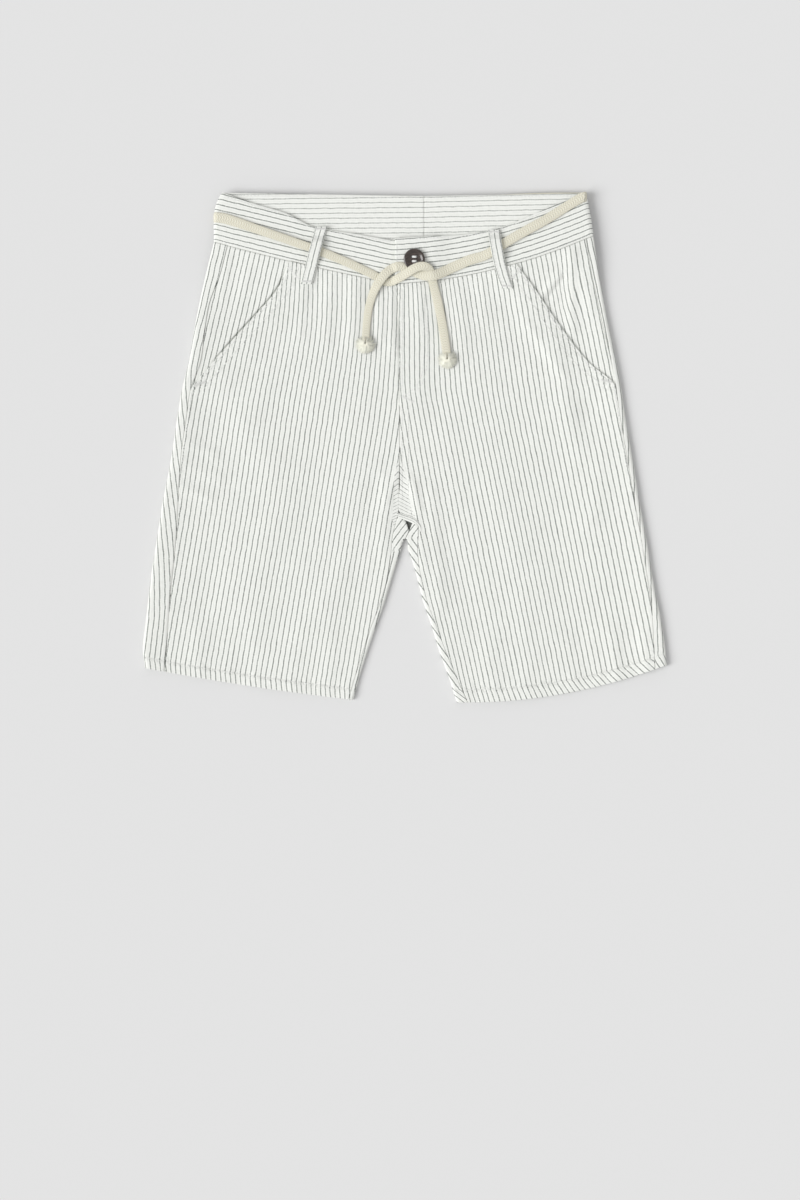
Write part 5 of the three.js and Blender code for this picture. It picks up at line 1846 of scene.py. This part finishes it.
class SHORTS_OT_button(bpy.types.Operator):
    """Turn the four-hole button and sew it on"""

    bl_idname = "shorts.button"
    bl_label = "Button"

    def execute(self, context):
        cloth, _, button, _ = settings()
        piece = self.turned()
        for x, y in ((-1, -1), (1, -1), (1, 1), (-1, 1)):
            self.drill(piece, (x * HOLE_PLACE * MM, y * HOLE_PLACE * MM), button.hole / 2)
        self.rounded(piece)
        self.laid(piece)
        piece.data.materials.clear()
        piece.data.materials.append(shared("button_horn", polished_horn, button))
        ridden(piece, "button")
        self.sewn(shared("thread_white", sewing_thread, cloth))
        return {"FINISHED"}

    def turned(self):
        """The button's blank: a disc drawn up and scaled step by step to its turned outline."""
        all_deselected()
        radius, thick = BUTTON_RADIUS * MM, BUTTON_THICKNESS * MM
        size, level = FOOT_SHARE, 0.0
        bpy.ops.mesh.primitive_circle_add(vertices=96, radius=radius * size, fill_type="NGON")
        piece = bpy.context.object
        piece.name = "button_turned"
        bpy.ops.object.mode_set(mode="EDIT")
        bpy.ops.mesh.select_all(action="SELECT")
        for share, height in BUTTON_TURNING:
            move = {"value": (0, 0, (height - level) * thick)}
            bpy.ops.mesh.extrude_region_move(TRANSFORM_OT_translate=move)
            bpy.ops.transform.resize(value=(share / size, share / size, 1))
            size, level = share, height
        bpy.ops.mesh.select_all(action="SELECT")
        bpy.ops.mesh.normals_make_consistent(inside=False)
        bpy.ops.object.mode_set(mode="OBJECT")
        return piece

    def rounded(self, piece):
        """Soften the button's edges."""
        self.made_active(piece)
        rounding = piece.modifiers.new("rounding", "BEVEL")
        rounding.width = EDGE_ROUNDING * MM
        rounding.segments = 2
        rounding.limit_method = "ANGLE"
        rounding.angle_limit = math.radians(38)
        bpy.ops.object.modifier_apply(modifier="rounding")

    def laid(self, piece):
        """Lay the button on the band, tilted with it."""
        x, y = BUTTON_PLACE
        piece.rotation_euler = (button_tilt(), 0, 0)
        piece.location = ((x - CENTRE_X) * MM, y * MM, (cloth_top(x, y) + BUTTON_LIFT) * MM)
        bpy.ops.object.transform_apply(location=True, rotation=True, scale=True)
        bpy.ops.object.shade_smooth_by_angle(angle=math.radians(35))

    def sewn(self, thread):
        """Two rows of thread, each from hole to hole."""
        x, y = BUTTON_PLACE
        sewing = Stitching()
        surface = cloth_top(x, y) + BUTTON_LIFT + BUTTON_THICKNESS * BUTTON_FLOOR_SHARE
        for across in (-HOLE_PLACE, HOLE_PLACE):
            for strand in (-0.5, 0, 0.5):
                rise = math.tan(button_tilt()) * (across + strand) + (0.62 if strand == 0 else 0.4)
                place = np.array([x, y + across + strand, surface + rise])
                sewing.stitch(place - (1.9, 0, 0), place + (1.9, 0, 0), 0.4)
        sewing.made("button_thread", thread)

    def made_active(self, piece):
        all_deselected()
        piece.select_set(True)
        bpy.context.view_layer.objects.active = piece

    def drill(self, piece, place, radius):
        """Cut one hole through the button."""
        all_deselected()
        bpy.ops.mesh.primitive_cylinder_add(vertices=24, radius=radius, depth=0.02, location=(*place, 0))
        drill = bpy.context.object
        self.made_active(piece)
        cut = piece.modifiers.new("hole", "BOOLEAN")
        cut.object = drill
        cut.solver = "EXACT"
        bpy.ops.object.modifier_apply(modifier="hole")
        bpy.data.objects.remove(drill)


FLOOR_LEVEL = -0.0002
KEY_LIGHT_WAY = (1.0, 0.3, -0.9)
KEY_LIGHT_SPREAD = 38


class SHORTS_OT_stage(bpy.types.Operator):
    """Lay the pale table and set the soft light from the left"""

    bl_idname = "shorts.stage"
    bl_label = "Stage"

    def execute(self, context):
        stage = settings()[3]
        self.table(stage)
        self.key_light(stage)
        self.fill_light(stage)
        context.scene.view_settings.view_transform = "Standard"
        return {"FINISHED"}

    def table(self, stage):
        all_deselected()
        bpy.ops.mesh.primitive_plane_add(size=12, location=(0, 0, FLOOR_LEVEL))
        floor = bpy.context.object
        floor.name = "floor"
        bpy.ops.object.transform_apply(location=True, rotation=True, scale=True)
        floor.data.materials.append(shared("table_pale", pale_table, stage))

    def key_light(self, stage):
        bpy.ops.object.light_add(type="SUN", location=(-2, -1, 2))
        sun = bpy.context.object
        sun.name = "key_light"
        sun.data.energy = stage.sun_strength
        sun.data.angle = math.radians(KEY_LIGHT_SPREAD)
        sun.rotation_euler = Vector(KEY_LIGHT_WAY).to_track_quat("-Z", "Y").to_euler()

    def fill_light(self, stage):
        world = bpy.data.worlds.new("studio")
        world.use_nodes = True
        background = world.node_tree.nodes["Background"]
        background.inputs["Color"].default_value = (1, 1, 1, 1)
        background.inputs["Strength"].default_value = stage.fill_strength
        bpy.context.scene.world = world


class SHORTS_PT_panel(bpy.types.Panel):
    """Lists the pieces of the shorts and their settings"""

    bl_idname = "SHORTS_PT_panel"
    bl_label = "Bermuda shorts"
    bl_space_type = "VIEW_3D"
    bl_region_type = "UI"
    bl_category = "Shorts"

    def draw(self, context):
        for operator in OPERATORS:
            self.layout.operator(operator.bl_idname)
        for group in settings():
            box = self.layout.box()
            for name in group.__annotations__:
                box.prop(group, name)


OPERATORS = (
    SHORTS_OT_camera,
    SHORTS_OT_cord_ends,
    SHORTS_OT_belt_cord,
    SHORTS_OT_stage,
    SHORTS_OT_back_panels,
    SHORTS_OT_pocket_facings,
    SHORTS_OT_front_panels,
    SHORTS_OT_waistbands,
    SHORTS_OT_belt_loops,
    SHORTS_OT_button,
)
GROUPS = {
    "shorts_cloth": ClothSettings,
    "shorts_cord": CordSettings,
    "shorts_button": ButtonSettings,
    "shorts_stage": StageSettings,
}


def register():
    for name, group in GROUPS.items():
        bpy.utils.register_class(group)
        setattr(bpy.types.Scene, name, bpy.props.PointerProperty(type=group))
    for part in (*OPERATORS, SHORTS_PT_panel):
        bpy.utils.register_class(part)


def unregister():
    for part in reversed((*OPERATORS, SHORTS_PT_panel)):
        bpy.utils.unregister_class(part)
    for name, group in reversed(list(GROUPS.items())):
        delattr(bpy.types.Scene, name)
        bpy.utils.unregister_class(group)


def main():
    register()
    for operator in OPERATORS:
        group, name = operator.bl_idname.split(".")
        getattr(getattr(bpy.ops, group), name)()
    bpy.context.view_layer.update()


if __name__ == "__main__":
    main()
